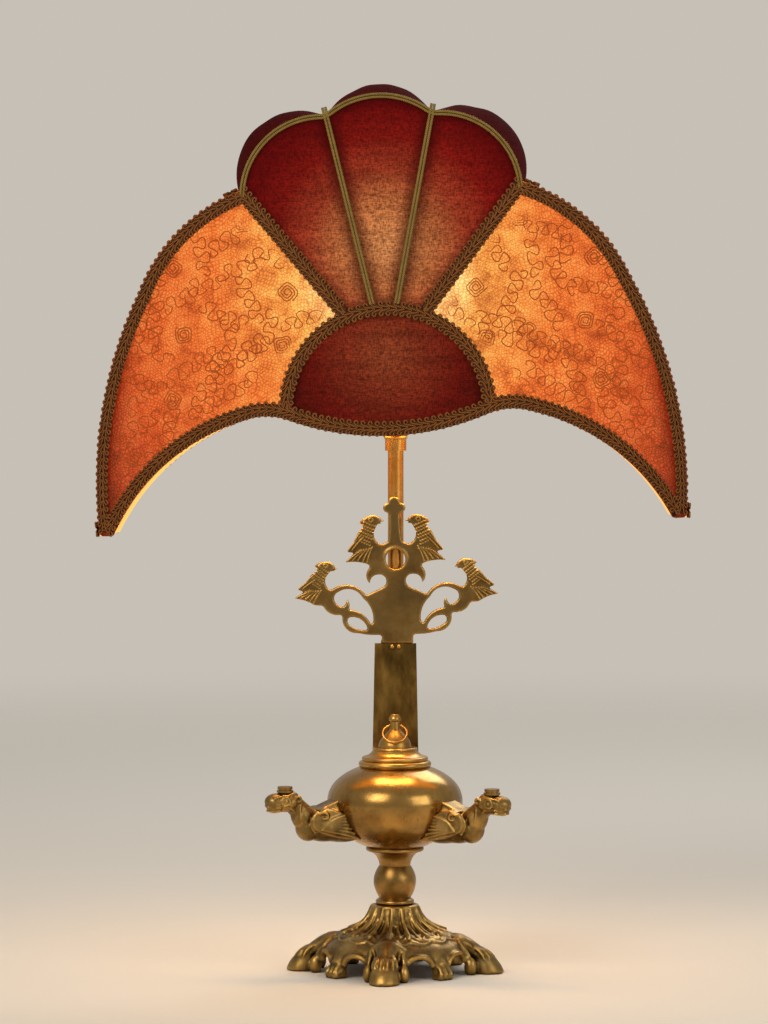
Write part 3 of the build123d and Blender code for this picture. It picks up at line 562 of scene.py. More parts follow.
def stretchedPanel(name, node, pattern, side, face):
    bm = bmesh.new()
    across, up = pattern["cuts"]
    bmesh.ops.create_grid(bm, x_segments=across, y_segments=up, size=0.5)
    acrossLayer = bm.verts.layers.float.new("across")
    seamShadeLayer = bm.verts.layers.float.new("rim")
    rows, columns = [n / up for n in range(up + 1)], [n / across for n in range(across + 1)]
    wide = [math.dist(onPattern(pattern, 0, w), onPattern(pattern, 1, w)) for w in rows]
    tall = [math.dist(onPattern(pattern, u, 0), onPattern(pattern, u, 1)) for u in columns]
    for v in bm.verts:
        u, w = v.co.x + 0.5, v.co.y + 0.5
        toSides, toEnds = min(u, 1 - u) * wide[round(w * up)], min(w, 1 - w) * tall[round(u * across)]
        v[acrossLayer] = u
        v[seamShadeLayer] = min(toSides, toEnds, clothSet["rim"]) / clothSet["rim"]
        x, z = onPattern(pattern, u, w)
        slack = (16 * u * (1 - u) * w * (1 - w)) ** 0.6
        crease = noise.noise((x * 0.012, z * 0.055, 3.0 + face)) * 0.5
        crease += noise.noise((x * 0.05, z * 0.02, 9.0)) * 0.25
        v.co = onShade(side * x, z, clothSet["out"] - pattern["sag"] * slack + crease * slack, face)
    faceOutwards(bm, 1, -face)
    return finishPiece(name, bm, pattern["mat"], "shade", node)


faces = {"front": 1, "back": -1}
sides = {"left": -1, "right": 1}
for faceName, face in faces.items():
    cuts = [("fan_centre", "fan_centre", 1), ("half_moon", "half_moon", 1)]
    for sideName, side in sides.items():
        cuts += [("fan_" + sideName, "fan_side", side), ("wing_" + sideName, "wing", side)]
    for node, key, side in cuts:
        pattern = patterns[key]
        panel = stretchedPanel(node + "Cloth" + faceName.title(), node + "_" + faceName, pattern, side, face)
print("shade faces stretched")

# crown gussets: puffed velvet that runs from the front crown line over to the back one
crownSet = {"cuts": (30, 20), "depthTop": 556.0}
centrePuffTop, lobePuffTop, lobePuffEnd = (0, 561.8), (78.0, 537.0), (91.0, 496.0)


def crownGusset(name, node, edgeLine, midLine, flat, area):
    bm = bmesh.new()
    bmesh.ops.create_grid(bm, x_segments=crownSet["cuts"][0], y_segments=crownSet["cuts"][1], size=0.5)
    seamShadeLayer = bm.verts.layers.float.new("rim")
    for v in bm.verts:
        u, w = v.co.x + 0.5, 2 * v.co.y
        puff = 1 - w * w
        x, z = (a + (b - a) * puff for a, b in zip(edgeLine(u), midLine(u)))
        y = w * (depthAt(x, min(z, crownSet["depthTop"])) + clothSet["out"])
        gather = noise.noise((x * 0.09, y * 0.012, 5.0)) * clothSet["gather"] * puff
        # the crown gussets get none of the painted seam shade
        v[seamShadeLayer] = 1.0
        v.co = Vector((x, tubeY + y, z + gather)) * mm
    faceOutwards(bm, 2, 1)
    piece = finishPiece(name, bm, crownMat, "shade", node)


centreEdge, lobeEdge = patterns["fan_centre"]["high"], patterns["fan_side"]["high"]
centrePuff = drawn((mirrored(valley), centrePuffTop, valley))
lobePuff = drawn((valley, lobePuffTop, lobePuffEnd))
crownGusset("crownClothCentre", "crown_centre", centreEdge, centrePuff, (0.074, 0.072), 0.0048)
for sideName, side in sides.items():
    lobe = (flipped(lobeEdge, side), flipped(lobePuff, side))
    crownGusset("crownCloth" + sideName.title(), "crown_" + sideName, *lobe, (0.084, 0.078), 0.0060)

# side gussets: plain lace strips between the two faces, from the tips up to the crown corners
outerEdge = drawn((tipOut, edgeMid, shoulder), (shoulder, shoulderMid, corner))
for sideName, side in sides.items():
    bm = bmesh.new()
    bmesh.ops.create_grid(bm, x_segments=60, y_segments=12, size=0.5)
    for v in bm.verts:
        x, z = outerEdge(v.co.x + 0.5)
        inward = clothSet["gussetSink"] * (1 - 4 * v.co.y**2)
        y = tubeY + 2 * v.co.y * (depthAt(x, z) + clothSet["out"])
        v.co = Vector((side * (x - inward), y, z)) * mm
    faceOutwards(bm, 0, side)
    strip = finishPiece("gussetCloth" + sideName.title(), bm, lacePanelMat, "shade", "gusset_" + sideName)
print("gussets stretched")


# a seam on the shade, read every few millimetres: place, direction and the cloth's outward normal
def seamFrames(line, face, step, out, side=1):
    reads = 600
    spots = [line(k / reads) for k in range(reads + 1)]
    places = [onShade(side * x, z, out, face) for x, z in spots]
    along = [0.0]
    for a, b in zip(places, places[1:]):
        along.append(along[-1] + (b - a).length)
    count = max(2, round(along[-1] / (step * mm)))
    frames, k = [], 1
    for n in range(count + 1):
        want = along[-1] * n / count
        while k < reads and along[k] < want:
            k += 1
        part = (want - along[k - 1]) / max(along[k] - along[k - 1], 1e-12)
        place = places[k - 1].lerp(places[k], part)
        heading = (places[min(k + 2, reads)] - places[max(k - 3, 0)]).normalized()
        normal = outwards(side * spots[k][0], spots[k][1], face)
        across = normal.cross(heading).normalized()
        frames.append((place, heading, across, heading.cross(across).normalized()))
    return frames


def frameMatrix(place, heading, across, normal, turnOver=1):
    return Matrix((
        (heading.x, across.x * turnOver, normal.x, place.x),
        (heading.y, across.y * turnOver, normal.y, place.y),
        (heading.z, across.z * turnOver, normal.z, place.z),
        (0, 0, 0, 1),
    ))


# an object's mesh as its modifiers leave it, with the object removed
def bakedMesh(holder):
    mesh = bpy.data.meshes.new_from_object(holder.evaluated_get(bpy.context.evaluated_depsgraph_get()))
    bpy.data.objects.remove(holder)
    return mesh


# a curve with a round section, made a mesh
def tubeMesh(points, radius, bevels, closed=False, taper=None):
    curve = bpy.data.curves.new("scratchCurve", "CURVE")
    curve.dimensions = "3D"
    curve.bevel_depth = radius
    curve.bevel_resolution = bevels
    curve.resolution_u = 2
    curve.use_fill_caps = True
    spline = curve.splines.new("NURBS")
    spline.points.add(len(points) - 1)
    for n, (p, place) in enumerate(zip(spline.points, points)):
        p.co = (*place, 1)
        p.radius = taper[n] if taper else 1.0
    spline.use_cyclic_u = closed
    spline.use_endpoint_u = not closed
    spline.order_u = 3
    mesh = bakedMesh(putInScene("scratchCurve", curve))
    bpy.data.curves.remove(curve)
    return mesh


def layTube(bm, points, radius, bevels, closed=False, taper=None):
    mesh = tubeMesh(points, radius, bevels, closed, taper)
    bm.from_mesh(mesh)
    bpy.data.meshes.remove(mesh)


# adds a finished part to a bigger one, turned about the upright axis
def joinInto(bm, part, turned=0.0):
    bmesh.ops.transform(part, matrix=Matrix.Rotation(turned, 4, "Z"), verts=part.verts)
    mesh = bpy.data.meshes.new("scratchPart")
    part.to_mesh(mesh)
    part.free()
    bm.from_mesh(mesh)
    bpy.data.meshes.remove(mesh)


def around(count):
    return [math.tau * k / count for k in range(count)]


# scroll gimp: each yarn curls into a ring at the edge and sweeps to the middle, row against row
gimp = {
    "pitch": 4.5, "ringR": 1.3, "ringOut": 3.3, "ringUp": 0.9, "yarn": 0.64, "ground": 3.8, "thick": 0.5,
    "inset": 4.2, "out": 0.8, "bands": (0.018, 0.975),
}
ringSpots = [(-30, 0.0), (35, 0.2), (100, 0.3), (165, 0.3), (225, 0.15)]
sweepSpots = [(0.3, 1.6, 1.2), (2.8, 1.1, 1.5), (5.6, 0.35, 0.8)]
loopPath = []
for degrees, rise in ringSpots:
    a = math.radians(degrees)
    ahead, out = gimp["ringR"] * math.cos(a), gimp["ringOut"] + gimp["ringR"] * math.sin(a)
    loopPath.append(Vector((ahead, out, gimp["ringUp"] + rise)) * mm)
loopPath += [Vector(spot) * mm for spot in sweepSpots]
loopMesh = tubeMesh(loopPath, gimp["yarn"] * mm, 0)
print("gimp loop faces:", len(loopMesh.polygons))


def layGimp(bm, frames):
    for n, (place, heading, across, normal) in enumerate(frames[:-1]):
        for row in (1, -1):
            fresh = len(bm.verts)
            bm.from_mesh(loopMesh)
            bm.verts.ensure_lookup_table()
            wobble = 1 + 0.06 * noise.noise((n * 1.7, row * 3.1, 0.5))
            shape = frameMatrix(place, heading, across, normal, row) @ Matrix.Scale(wobble, 4)
            moved = bm.verts[fresh:]
            bmesh.ops.transform(bm, matrix=shape, verts=moved)
            if row < 0:
                bmesh.ops.reverse_faces(bm, faces=list({f for v in moved for f in v.link_faces}))


def layGround(bm, frames):
    strip = bmesh.new()
    bmesh.ops.create_grid(strip, x_segments=len(frames) - 1, y_segments=4, size=0.5)
    for v in strip.verts:
        place, heading, across, normal = frames[round((v.co.x + 0.5) * (len(frames) - 1))]
        off = v.co.y * 2 * gimp["ground"] * mm
        rise = (0.35 + 0.5 * abs(math.sin(v.co.y * math.tau))) * mm
        v.co = place + across * off + normal * rise
    bmesh.ops.solidify(strip, geom=strip.faces[:], thickness=gimp["thick"] * mm)
    first = len(bm.faces)
    joinInto(bm, strip)
    bm.faces.ensure_lookup_table()
    for f in bm.faces[first:]:
        f.material_index = 1


def gimpPiece(name, node, seams):
    bm = bmesh.new()
    for frames in seams:
        layGround(bm, frames)
        layGimp(bm, frames)
    piece = finishPiece(name, bm, gimpMat, "shade", *node)
    piece.data.materials.append(backingMat)


# a seam straight across a side gusset, from the front face to the back one
def bandFrames(t, side):
    (ax, az), (bx, bz) = outerEdge(t - 0.012), outerEdge(t + 0.012)
    normal = Vector((side * (bz - az), 0, ax - bx)).normalized()
    heading = Vector((0, 1, 0))
    x, z = outerEdge(t)
    half = depthAt(x, z) + 1.0
    count = round(2 * half / gimp["pitch"])
    frames = []
    for n in range(count + 1):
        y = half * (2 * n / count - 1)
        sunk = clothSet["gussetSink"] * (1 - (y / half) ** 2)
        place = Vector((side * x, tubeY + y, z)) * mm + normal * ((0.6 - sunk) * mm)
        frames.append((place, heading, normal.cross(heading), normal))
    return frames


# middle lines of the gimp, half a braid in from the cut edges
def insetLine(line, distance, start=0.0, end=1.0):
    def at(t):
        here = start + (end - start) * t
        (ax, az), (bx, bz) = line(max(here - 0.012, 0.0)), line(min(here + 0.012, 1.0))
        size = math.hypot(bx - ax, bz - az)
        x, z = line(here)
        return (x - (bz - az) / size * distance, z + (bx - ax) / size * distance)

    return at


# the low edge of a whole face, from the left tip to the right one
lowTip = (180.0, 278.0)
lowRuns = [(moonEnd, dipMid, dipEnd), (dipEnd, wingLow, tipIn), (tipIn, lowTip)]
leftRuns = [tuple(mirrored(point) for point in reversed(run)) for run in reversed(lowRuns)]
lowEdge = drawn(*leftRuns, (mirrored(moonEnd), moonLow, moonEnd), *lowRuns)
lowGimp = insetLine(lowEdge, gimp["inset"], 0.012, 0.988)
edgeGimp = insetLine(outerEdge, gimp["inset"], 0.012, 1.0)
archGimp = drawn((onArch(178), onArch(90), onArch(2)))
vGimp = drawn(((87.6, 494.8), (26.0, 417.4)))
gimpLines = {
    "bottom": [(lowGimp, 1)],
    "edge": [(edgeGimp, 1), (edgeGimp, -1)],
    "inner": [(archGimp, 1), (vGimp, 1), (vGimp, -1)],
}
for faceName, face in faces.items():
    for place, lines in gimpLines.items():
        seams = [seamFrames(line, face, gimp["pitch"], gimp["out"], side) for line, side in lines]
        gimpPiece("gimp" + place.title() + faceName.title(), ["braid_" + place + "_" + faceName], seams)
for sideName, side in sides.items():
    gimpPiece("gimpGusset" + sideName.title(), [], [bandFrames(t, side) for t in gimp["bands"]])
print("gimp laid")

# twin cords: two olive strands side by side on the ribs and along the crown line
cordSet = {"strand": 0.85, "apart": 0.95, "rise": 0.9, "step": 4.0, "out": 0.7}
ribCord = drawn(((valley[0] + 0.9, valley[1] + 4.0), (ribFoot[0] + 0.6, ribFoot[1] + 3.0)))
crownCord = drawn(
    ((-87.3, 492.0), (-70.6, 528.0), (-33.4, 540.4)), ((-33.4, 540.4), (0, 552.8), (33.4, 540.4)),
    ((33.4, 540.4), (70.6, 528.0), (87.3, 492.0)),
)
for faceName, face in faces.items():
    bm = bmesh.new()
    for line, side in ((ribCord, 1), (ribCord, -1), (crownCord, 1)):
        frames = seamFrames(line, face, cordSet["step"], cordSet["out"], side)
        for row in (1, -1):
            off, rise = row * cordSet["apart"] * mm, cordSet["rise"] * mm
            path = [place + across * off + normal * rise for place, heading, across, normal in frames]
            layTube(bm, path, cordSet["strand"] * mm, 2)
    piece = finishPiece("twinCord" + faceName.title(), bm, oliveMat, "shade", "cord_" + faceName)
print("cords laid")

# soutache: a thin braid stitched on the net in short wandering runs and squarish curled flowers
soutache = {
    "braid": 0.36, "loop": 4.6, "wave": 8.4, "bulb": -2.6, "cells": 6, "reads": 10, "clear": 7.0, "out": -0.4,
}


def wanderLine(guide, seed):
    line = drawn(guide)
    length = sum(math.dist(a, b) for a, b in zip(guide, guide[1:]))
    turns = max(2, round(length / soutache["wave"]))
    path = []
    for k in range(turns * soutache["reads"] + 1):
        t = k / (turns * soutache["reads"])
        (ax, az), (bx, bz) = line(max(t - 0.02, 0)), line(min(t + 0.02, 1))
        size = math.hypot(bx - ax, bz - az)
        ux, uz = (bx - ax) / size, (bz - az) / size
        phase = math.tau * turns * t + 1.3 * noise.noise((seed * 5.1, t * 7, 2.0))
        swing = soutache["loop"] * (1 + 0.55 * noise.noise((seed * 3.3, t * 6, 0.0))) * math.sin(phase)
        push = soutache["bulb"] * math.sin(2 * phase)
        drift = 3.0 * noise.noise((seed * 7.7, t * 3, 5.0))
        x, z = line(t)
        path.append((x + ux * push - uz * (swing + drift), z + uz * push + ux * (swing + drift)))
    return path


def flowerCurl(x, z, seed):
    curl = []
    for k in range(40):
        a = math.tau * k / 13 + seed
        square = 1 + 0.14 * math.cos(4 * a - 3 * seed)
        r = (1.2 + 5.2 * k / 39) * square * (1 + 0.2 * noise.noise((seed * 2.1, math.cos(a), math.sin(a))))
        curl.append((x + r * math.cos(a), z + r * math.sin(a)))
    return curl


def stitchSoutache(name, side, face, seed):
    wing = patterns["wing"]
    cells = soutache["cells"]
    lines = []
    for i in range(cells):
        for j in range(cells):
            key = (i * 1.37 + seed, j * 1.91, seed * 0.7)
            u = min(0.04 + 0.9 * (i + 0.5 + 0.3 * noise.noise(key)) / cells, 0.85)
            w = 0.06 + 0.88 * (j + 0.5 + 0.3 * noise.noise((key[1], key[0], 4.0))) / cells
            if (2 * i + 3 * j) % 6 == 3:
                lines.append(flowerCurl(*onPattern(wing, u, w), i + 0.6 * j + seed))
                continue
            way = math.tau * noise.noise((i * 0.83, j * 0.71, seed * 1.3))
            du, dw = 0.1 * math.cos(way), 0.1 * math.sin(way)
            spots = [(u + k * du, w + k * dw) for k in (-1.0, 0.0, 1.0)]
            ends = [(min(max(a, 0.05), 0.86), min(max(b, 0.07), 0.93)) for a, b in spots]
            lines.append(wanderLine([onPattern(wing, *spot) for spot in ends], i * 7 + j + seed))
    bm = bmesh.new()
    rim = [outerEdge(k / 120) for k in range(121)]
    for path in lines:
        braid = []
        for x, z in path:
            edgeX = min(rim, key=lambda spot: abs(spot[1] - z))[0]
            braid.append(onShade(side * min(x, edgeX - soutache["clear"]), z, soutache["out"], face))
        layTube(bm, braid, soutache["braid"] * mm, 0)
    piece = finishPiece(name, bm, soutacheMat, "shade")


for faceName, face in faces.items():
    for sideName, side in sides.items():
        stitchSoutache("soutache" + sideName.title() + faceName.title(), side, face, 3.0 + side + 0.4 * face)
print("soutache stitched")


# clay tools for the castings: eggs and tapered ridges pressed into a body, then one skin over all
def egg(bm, centre, radii, lean=0.0):
    place = Matrix.Translation(Vector(centre) * mm) @ Matrix.Rotation(math.radians(lean), 4, "Y")
    shape = place @ Matrix.Diagonal((*(Vector(radii) * mm), 1))
    bmesh.ops.create_uvsphere(bm, u_segments=20, v_segments=12, radius=1.0, matrix=shape)


def ridge(bm, points, radius, taper=None, closed=False):
    layTube(bm, [Vector(p) * mm for p in points], radius * mm, 2, closed, taper)


def oneSkin(bm, voxel, smoothing, keep=1.0):
    scratch = bpy.data.meshes.new("scratchClay")
    bm.to_mesh(scratch)
    bm.free()
    holder = putInScene("scratchClay", scratch)
    skin = holder.modifiers.new("skin", "REMESH")
    skin.mode = "VOXEL"
    skin.voxel_size = voxel * mm
    if keep < 1.0:
        thin = holder.modifiers.new("thin", "DECIMATE")
        thin.ratio = keep
    mesh = bakedMesh(holder)
    bpy.data.meshes.remove(scratch)
    clay = bmesh.new()
    clay.from_mesh(mesh)
    bpy.data.meshes.remove(mesh)
    every = {"use_axis_x": True, "use_axis_y": True, "use_axis_z": True}
    for k in range(smoothing):
        bmesh.ops.smooth_vert(clay, verts=clay.verts, factor=0.5, **every)
    bmesh.ops.recalc_face_normals(clay, faces=clay.faces)
    return clay


def cadCopy(node, turned=0.0):
    bm = bmesh.new()
    bm.from_mesh(nodes[node].data)
    place = Matrix.Rotation(math.radians(turned), 4, "Z") @ nodes[node].matrix_world
    bmesh.ops.transform(bm, matrix=place, verts=bm.verts)
    bmesh.ops.remove_doubles(bm, verts=bm.verts, dist=1e-6)
    return bm


# how a ridge's thickness runs from end to end
leafTaper, lashTaper, vaneTaper = (0.6, 1.0, 0.6), (0.6, 1.0, 0.5), (0.7, 1.0, 0.7)

# spouts: winged beasts, modelled along x on the right spout's solid and turned to their places
spoutTurns = {"left": -155.5, "right": -35.5, "rear": 84.5}
beastSet = {"voxel": 0.5, "smoothing": 2, "eye": (77.2, 7.0, 111.6), "feathers": 7, "mane": 4}
bm = cadCopy("spout_right", -spoutTurns["right"])
egg(bm, (73.6, 0, 110.4), (9.4, 7.6, 6.0), 8)  # skull
egg(bm, (81.0, 0, 111.2), (7.4, 7.0, 5.2))  # muzzle
egg(bm, (81.2, 0, 107.8), (6.0, 5.6, 3.8))  # jaw
egg(bm, (62.4, 0, 100.0), (7.6, 7.6, 10.6), 32)  # neck
egg(bm, (48.0, 0, 93.0), (16.0, 9.0, 8.4))  # breast
eyeX, eyeY, eyeZ = beastSet["eye"]
lidR, lidOut = 2.9, 0.2
for side in (-1, 1):
    egg(bm, (eyeX, side * eyeY, eyeZ), (1.6, 1.4, 1.6))
    lidY = side * (eyeY + lidOut)
    eyelid = [(eyeX + lidR * math.cos(a), lidY, eyeZ + lidR * math.sin(a)) for a in around(8)]
    ridge(bm, eyelid, 0.75, None, True)
    brow = [(84.6, 5.6, 113.4), (80.5, 6.6, 115.4), (75.0, 6.8, 115.2)]
    ear = [(71.5, 5.6, 112.0), (69.6, 6.2, 114.6), (66.8, 6.0, 114.0), (66.4, 6.0, 111.4), (68.4, 6.3, 110.8)]
    lowLip = [(86.8, 1.2, 105.4), (84.2, 4.8, 105.2), (79.0, 6.2, 105.4)]
    topLip = [(87.2, 1.6, 108.0), (84.6, 5.4, 107.8), (79.6, 6.8, 107.4)]
    cheek = [(78.0, 5.8, 109.4), (74.6, 6.2, 107.0), (70.6, 6.0, 105.4)]
    wingTop = [(56.8, 11.6, 104.6), (60.6, 10.4, 101.4), (61.4, 9.6, 96.0), (58.4, 10.4, 91.4)]
    scroll = [(57.0, 12.4, 103.6)]
    scroll += [(x, 13.0, z) for x, z in ((53.6, 105.0), (50.8, 102.6), (52.0, 99.8), (54.6, 100.6))]
    drawnLines = [
        (brow, 0.9, (0.5, 1.0, 0.6)), (ear, 1.0, (0.6, 1.0, 1.0, 0.8, 0.5)), (lowLip, 0.9, (0.8, 1.0, 0.5)),
        (topLip, 0.7, lashTaper), (cheek, 0.8, lashTaper), (wingTop, 1.5, (0.8, 1.1, 1.0, 0.6)),
        (scroll, 1.1, (0.9, 1.0, 1.0, 0.9, 0.6)),
    ]
    for k in range(3):
        lock = [
            (66.5 - 3.2 * k, 5.4, 109.8 - 3.6 * k), (68.0 - 3.0 * k, 6.6, 104.8 - 3.4 * k),
            (66.6 - 2.4 * k, 6.6, 100.0 - 2.8 * k),
        ]
        drawnLines.append((lock, 0.8, lashTaper))
    for k in range(beastSet["feathers"]):
        low = 1 - k / (beastSet["feathers"] - 1)
        feather = [
            (55.5 - 0.9 * k, 12.6, 99.0 - 5.4 * low), (45.0, 12.9, 101.6 - 10.4 * low),
            (33.0 - 0.6 * k, 12.3, 103.6 - 15.6 * low),
        ]
        drawnLines.append((feather, 0.95, vaneTaper))
    egg(bm, (86.6, side * 2.2, 108.6), (1.2, 1.4, 1.0))  # nostril
    for path, thick, taper in drawnLines:
        ridge(bm, [(x, side * y, z) for x, y, z in path], thick, taper)
for k in range(beastSet["mane"]):
    x, z = 67.0 - 3.6 * k, 113.6 - 3.4 * k
    ridge(bm, [(x, -2.2, z), (66.4 - 3.6 * k, 0, 114.8 - 3.4 * k), (x, 2.2, z)], 1.1, leafTaper)
ledge = {"place": (0.0440, 0, 0.1080), "lean": 22.0, "size": (0.022, 0.0145, 0.0036)}
ledgeMatrix = Matrix.Translation(ledge["place"]) @ Matrix.Rotation(math.radians(ledge["lean"]), 4, "Y")
bmesh.ops.create_cube(bm, size=1.0, matrix=ledgeMatrix @ Matrix.Diagonal((*ledge["size"], 1)))
beast = oneSkin(bm, beastSet["voxel"], beastSet["smoothing"])
beastMesh = bpy.data.meshes.new("scratchBeast")
beast.to_mesh(beastMesh)
beast.free()
print("beast faces:", len(beastMesh.polygons))
for sideName, turned in spoutTurns.items():
    bm = bmesh.new()
    bm.from_mesh(beastMesh)
    bmesh.ops.transform(bm, matrix=Matrix.Rotation(math.radians(turned), 4, "Z"), verts=bm.verts)
    piece = finishPiece("beastSpout" + sideName.title(), bm, castBrassMat, "lamp", "spout_" + sideName)
bpy.data.meshes.remove(beastMesh)
print("spouts sculpted")

# base: the casting's solid with its skirt arches raised, and hair, leaves and rims chased on it
baseTurn = -5.5
arch = {
    "middle": 25.9, "half": 11.4, "edgeZ": 9.0, "fadeZ": 15.0, "rise": 4.4, "fromR": 38,
    "rollR": 46.2, "rollZ": 6.4, "rollRise": 8.6, "rollHalf": 12.2, "roll": 1.9,
}
rollSteps = (-11.9, -10.4, -7.6, -4.0, 0.0, 4.0, 7.6, 10.4, 11.9)
bm = oneSkin(cadCopy("base_casting", -baseTurn), 0.8, 1)
for v in bm.verts:
    turn = math.degrees(math.atan2(v.co.y, v.co.x)) % 90
    off = abs(min(turn, 90 - turn) - arch["middle"]) / arch["half"]
    z = v.co.z / mm
    if off < 1 and math.hypot(v.co.x, v.co.y) > arch["fromR"] * mm and z < arch["fadeZ"]:
        line = arch["edgeZ"] + arch["rise"] * min(1, 2.2 * (1 - off))
        v.co.z = (line + (z - arch["edgeZ"]) * (arch["fadeZ"] - line) / (arch["fadeZ"] - arch["edgeZ"])) * mm
for k in range(8):
    middle = 45 * k + (arch["middle"] if k % 2 == 0 else 45 - arch["middle"])
    roll = []
    for d in rollSteps:
        a = math.radians(middle + d)
        z = arch["rollZ"] + arch["rollRise"] * math.sqrt(1 - (d / arch["rollHalf"]) ** 2)
        roll.append((arch["rollR"] * math.cos(a), arch["rollR"] * math.sin(a), z))
    ridge(bm, roll, arch["roll"])
for quarter in range(4):
    foot = bmesh.new()
    for degrees in (-76, -46, -15, 15, 46, 76):
        c, d = math.cos(math.radians(degrees)), math.sin(math.radians(degrees))
        fetlock = [(51.0 + 1.0 * c, 5.0 * d, 16.4), (54.2 + 5.4 * c, 7.4 * d, 14.6)]
        fetlock.append((55.6 + 8.4 * c, 8.8 * d, 10.0))
        ridge(foot, fetlock, 1.5, (0.7, 1.0, 0.3))
    for k in (-2, -1, 0, 1, 2):
        shin = [
            (34.0, 1.6 * k, 24.2), (40.0, 3.4 * k, 24.6 - 0.9 * abs(k)), (47.0, 2.7 * k, 20.4 - abs(k)),
            (51.5, 2.2 * k, 17.4 - abs(k)),
        ]
        ridge(foot, shin, 1.5, (0.6, 1.0, 0.9, 0.5))
    for side in (-1, 1):
        tendon = [(37.0, side * 8.6, 20.5), (43.5, side * 10.8, 16.4), (48.0, side * 11.0, 8.4)]
        ridge(foot, tendon, 2.5, (0.4, 0.9, 1.0))
        egg(foot, (49.2, side * 11.0, 4.8), (4.2, 3.6, 6.2))  # dewclaw
        for k in range(3):
            hair = [
                (40.0 + 2.6 * k, side * (8.4 + 0.4 * k), 21.4 - 2.4 * k),
                (43.0 + 2.6 * k, side * (10.8 + 0.3 * k), 20.0 - 3.0 * k),
                (44.6 + 2.4 * k, side * (11.4 - 0.2 * k), 16.4 - 3.0 * k),
            ]
            ridge(foot, hair, 1.1, lashTaper)
        cleft = [(66.6, side * 1.0, 1.0), (63.6, side * 0.7, 7.0), (60.0, side * 0.5, 11.0)]
        ridge(foot, cleft, 0.8, (1.0, 0.9, 0.6))
    paw = bmesh.new()
    for across in (-3.8, 0.0, 3.8):
        toe = [(44.0, across * 0.7, 11.8), (49.0, across, 8.2), (52.2, across, 3.4)]
        ridge(paw, toe, 1.4, (0.5, 1.0, 0.8))
    joinInto(bm, foot, math.radians(90.0 * quarter))
    joinInto(bm, paw, math.radians(45.0 + 90.0 * quarter))
leafCount = 16
spineLine = ((16.6, 36.4), (20.6, 31.0), (27.0, 27.4), (34.4, 25.4))
veins = [
    ([(24.6, 0.6, 28.0), (28.6, 2.6, 26.6), (30.2, 4.4, 25.4)], 0.8),
    ([(29.6, 0.8, 26.4), (33.6, 3.2, 25.2), (34.8, 5.4, 24.0)], 0.9),
]
for k, turn in enumerate(around(leafCount)):
    leaf = bmesh.new()
    lift = 0.6 if k % 2 else 0.0
    spine = [(15.0, 0, 41.6)] + [(x, 0, z + lift) for x, z in spineLine]
    ridge(leaf, spine, 1.25, (0.8, 1.0, 1.1, 1.1, 0.7))
    for side in (-1, 1):
        for path, thick in veins:
            ridge(leaf, [(x, side * y, z) for x, y, z in path], thick, leafTaper)
    joinInto(bm, leaf, turn)
for k in range(leafCount):
    middle = math.tau * (k + 0.5) / leafCount
    scallop = []
    for part in (-0.5, -0.25, 0.0, 0.25, 0.5):
        a = middle + part * math.tau / leafCount
        reach = 36.4 + 2.6 * math.cos(part * math.pi)
        scallop.append((reach * math.cos(a), reach * math.sin(a), 23.4 - 1.6 * math.cos(part * math.pi)))
    ridge(bm, scallop, 0.9)
neckR, neckZ = 14.6, 42.2
ridge(bm, [(neckR * math.cos(a), neckR * math.sin(a), neckZ) for a in around(24)], 0.8, None, True)
bmesh.ops.transform(bm, matrix=Matrix.Rotation(math.radians(baseTurn), 4, "Z"), verts=bm.verts)
footing = oneSkin(bm, 0.8, 2, 0.6)
for v in footing.verts:
    v.co.z = max(v.co.z, 0.0)
print("base faces:", len(footing.faces))
piece = finishPiece("beastFootBase", footing, castBrassMat, "lamp", "base_casting")
print("base sculpted")

# plaque: the sawn plate's solid with chased feathers, eyes and softened edges
plaqueSet = {"front": 23.0, "pivotZ": 0.260, "lean": 1.5}
birds = [(8.1, 284.9, 0.0, 1.0), (38.4, 255.0, 13.0, 0.92)]  # x, z, turn and size
wingFeathers = [((13.0, -9.0), (22.2, -19.0)), ((11.8, -10.4), (19.4, -18.4)), ((14.2, -7.6), (18.0, -14.0))]
tailFeathers = [
    ((13.4, -18.6), (22.8, -25.6)), ((11.6, -18.4), (19.4, -25.2)), ((9.8, -18.0), (16.0, -25.4)),
    ((8.0, -17.4), (12.8, -26.2)), ((6.4, -16.6), (10.2, -26.8)),
]
beakLines = [
    ([(5.4, 0.9), (2.4, 0.4), (-1.2, -0.3)], 1.3, (1.1, 1.0, 0.35)),
    ([(5.0, -1.5), (2.8, -1.6), (0.2, -1.7)], 1.1, (1.0, 0.8, 0.3)),
    ([(9.6, 1.0), (12.0, 0.0), (14.2, -1.4)], 1.4, (1.1, 1.0, 0.35)),
]
leanPlaque = (
    Matrix.Translation((0, 0, plaqueSet["pivotZ"]))
    @ Matrix.Rotation(math.radians(plaqueSet["lean"]), 4, "Y")
    @ Matrix.Translation((0, 0, -plaqueSet["pivotZ"]))
)
bm = cadCopy("plaque")
bmesh.ops.transform(bm, matrix=leanPlaque, verts=bm.verts)
bm = oneSkin(bm, 0.45, 7)
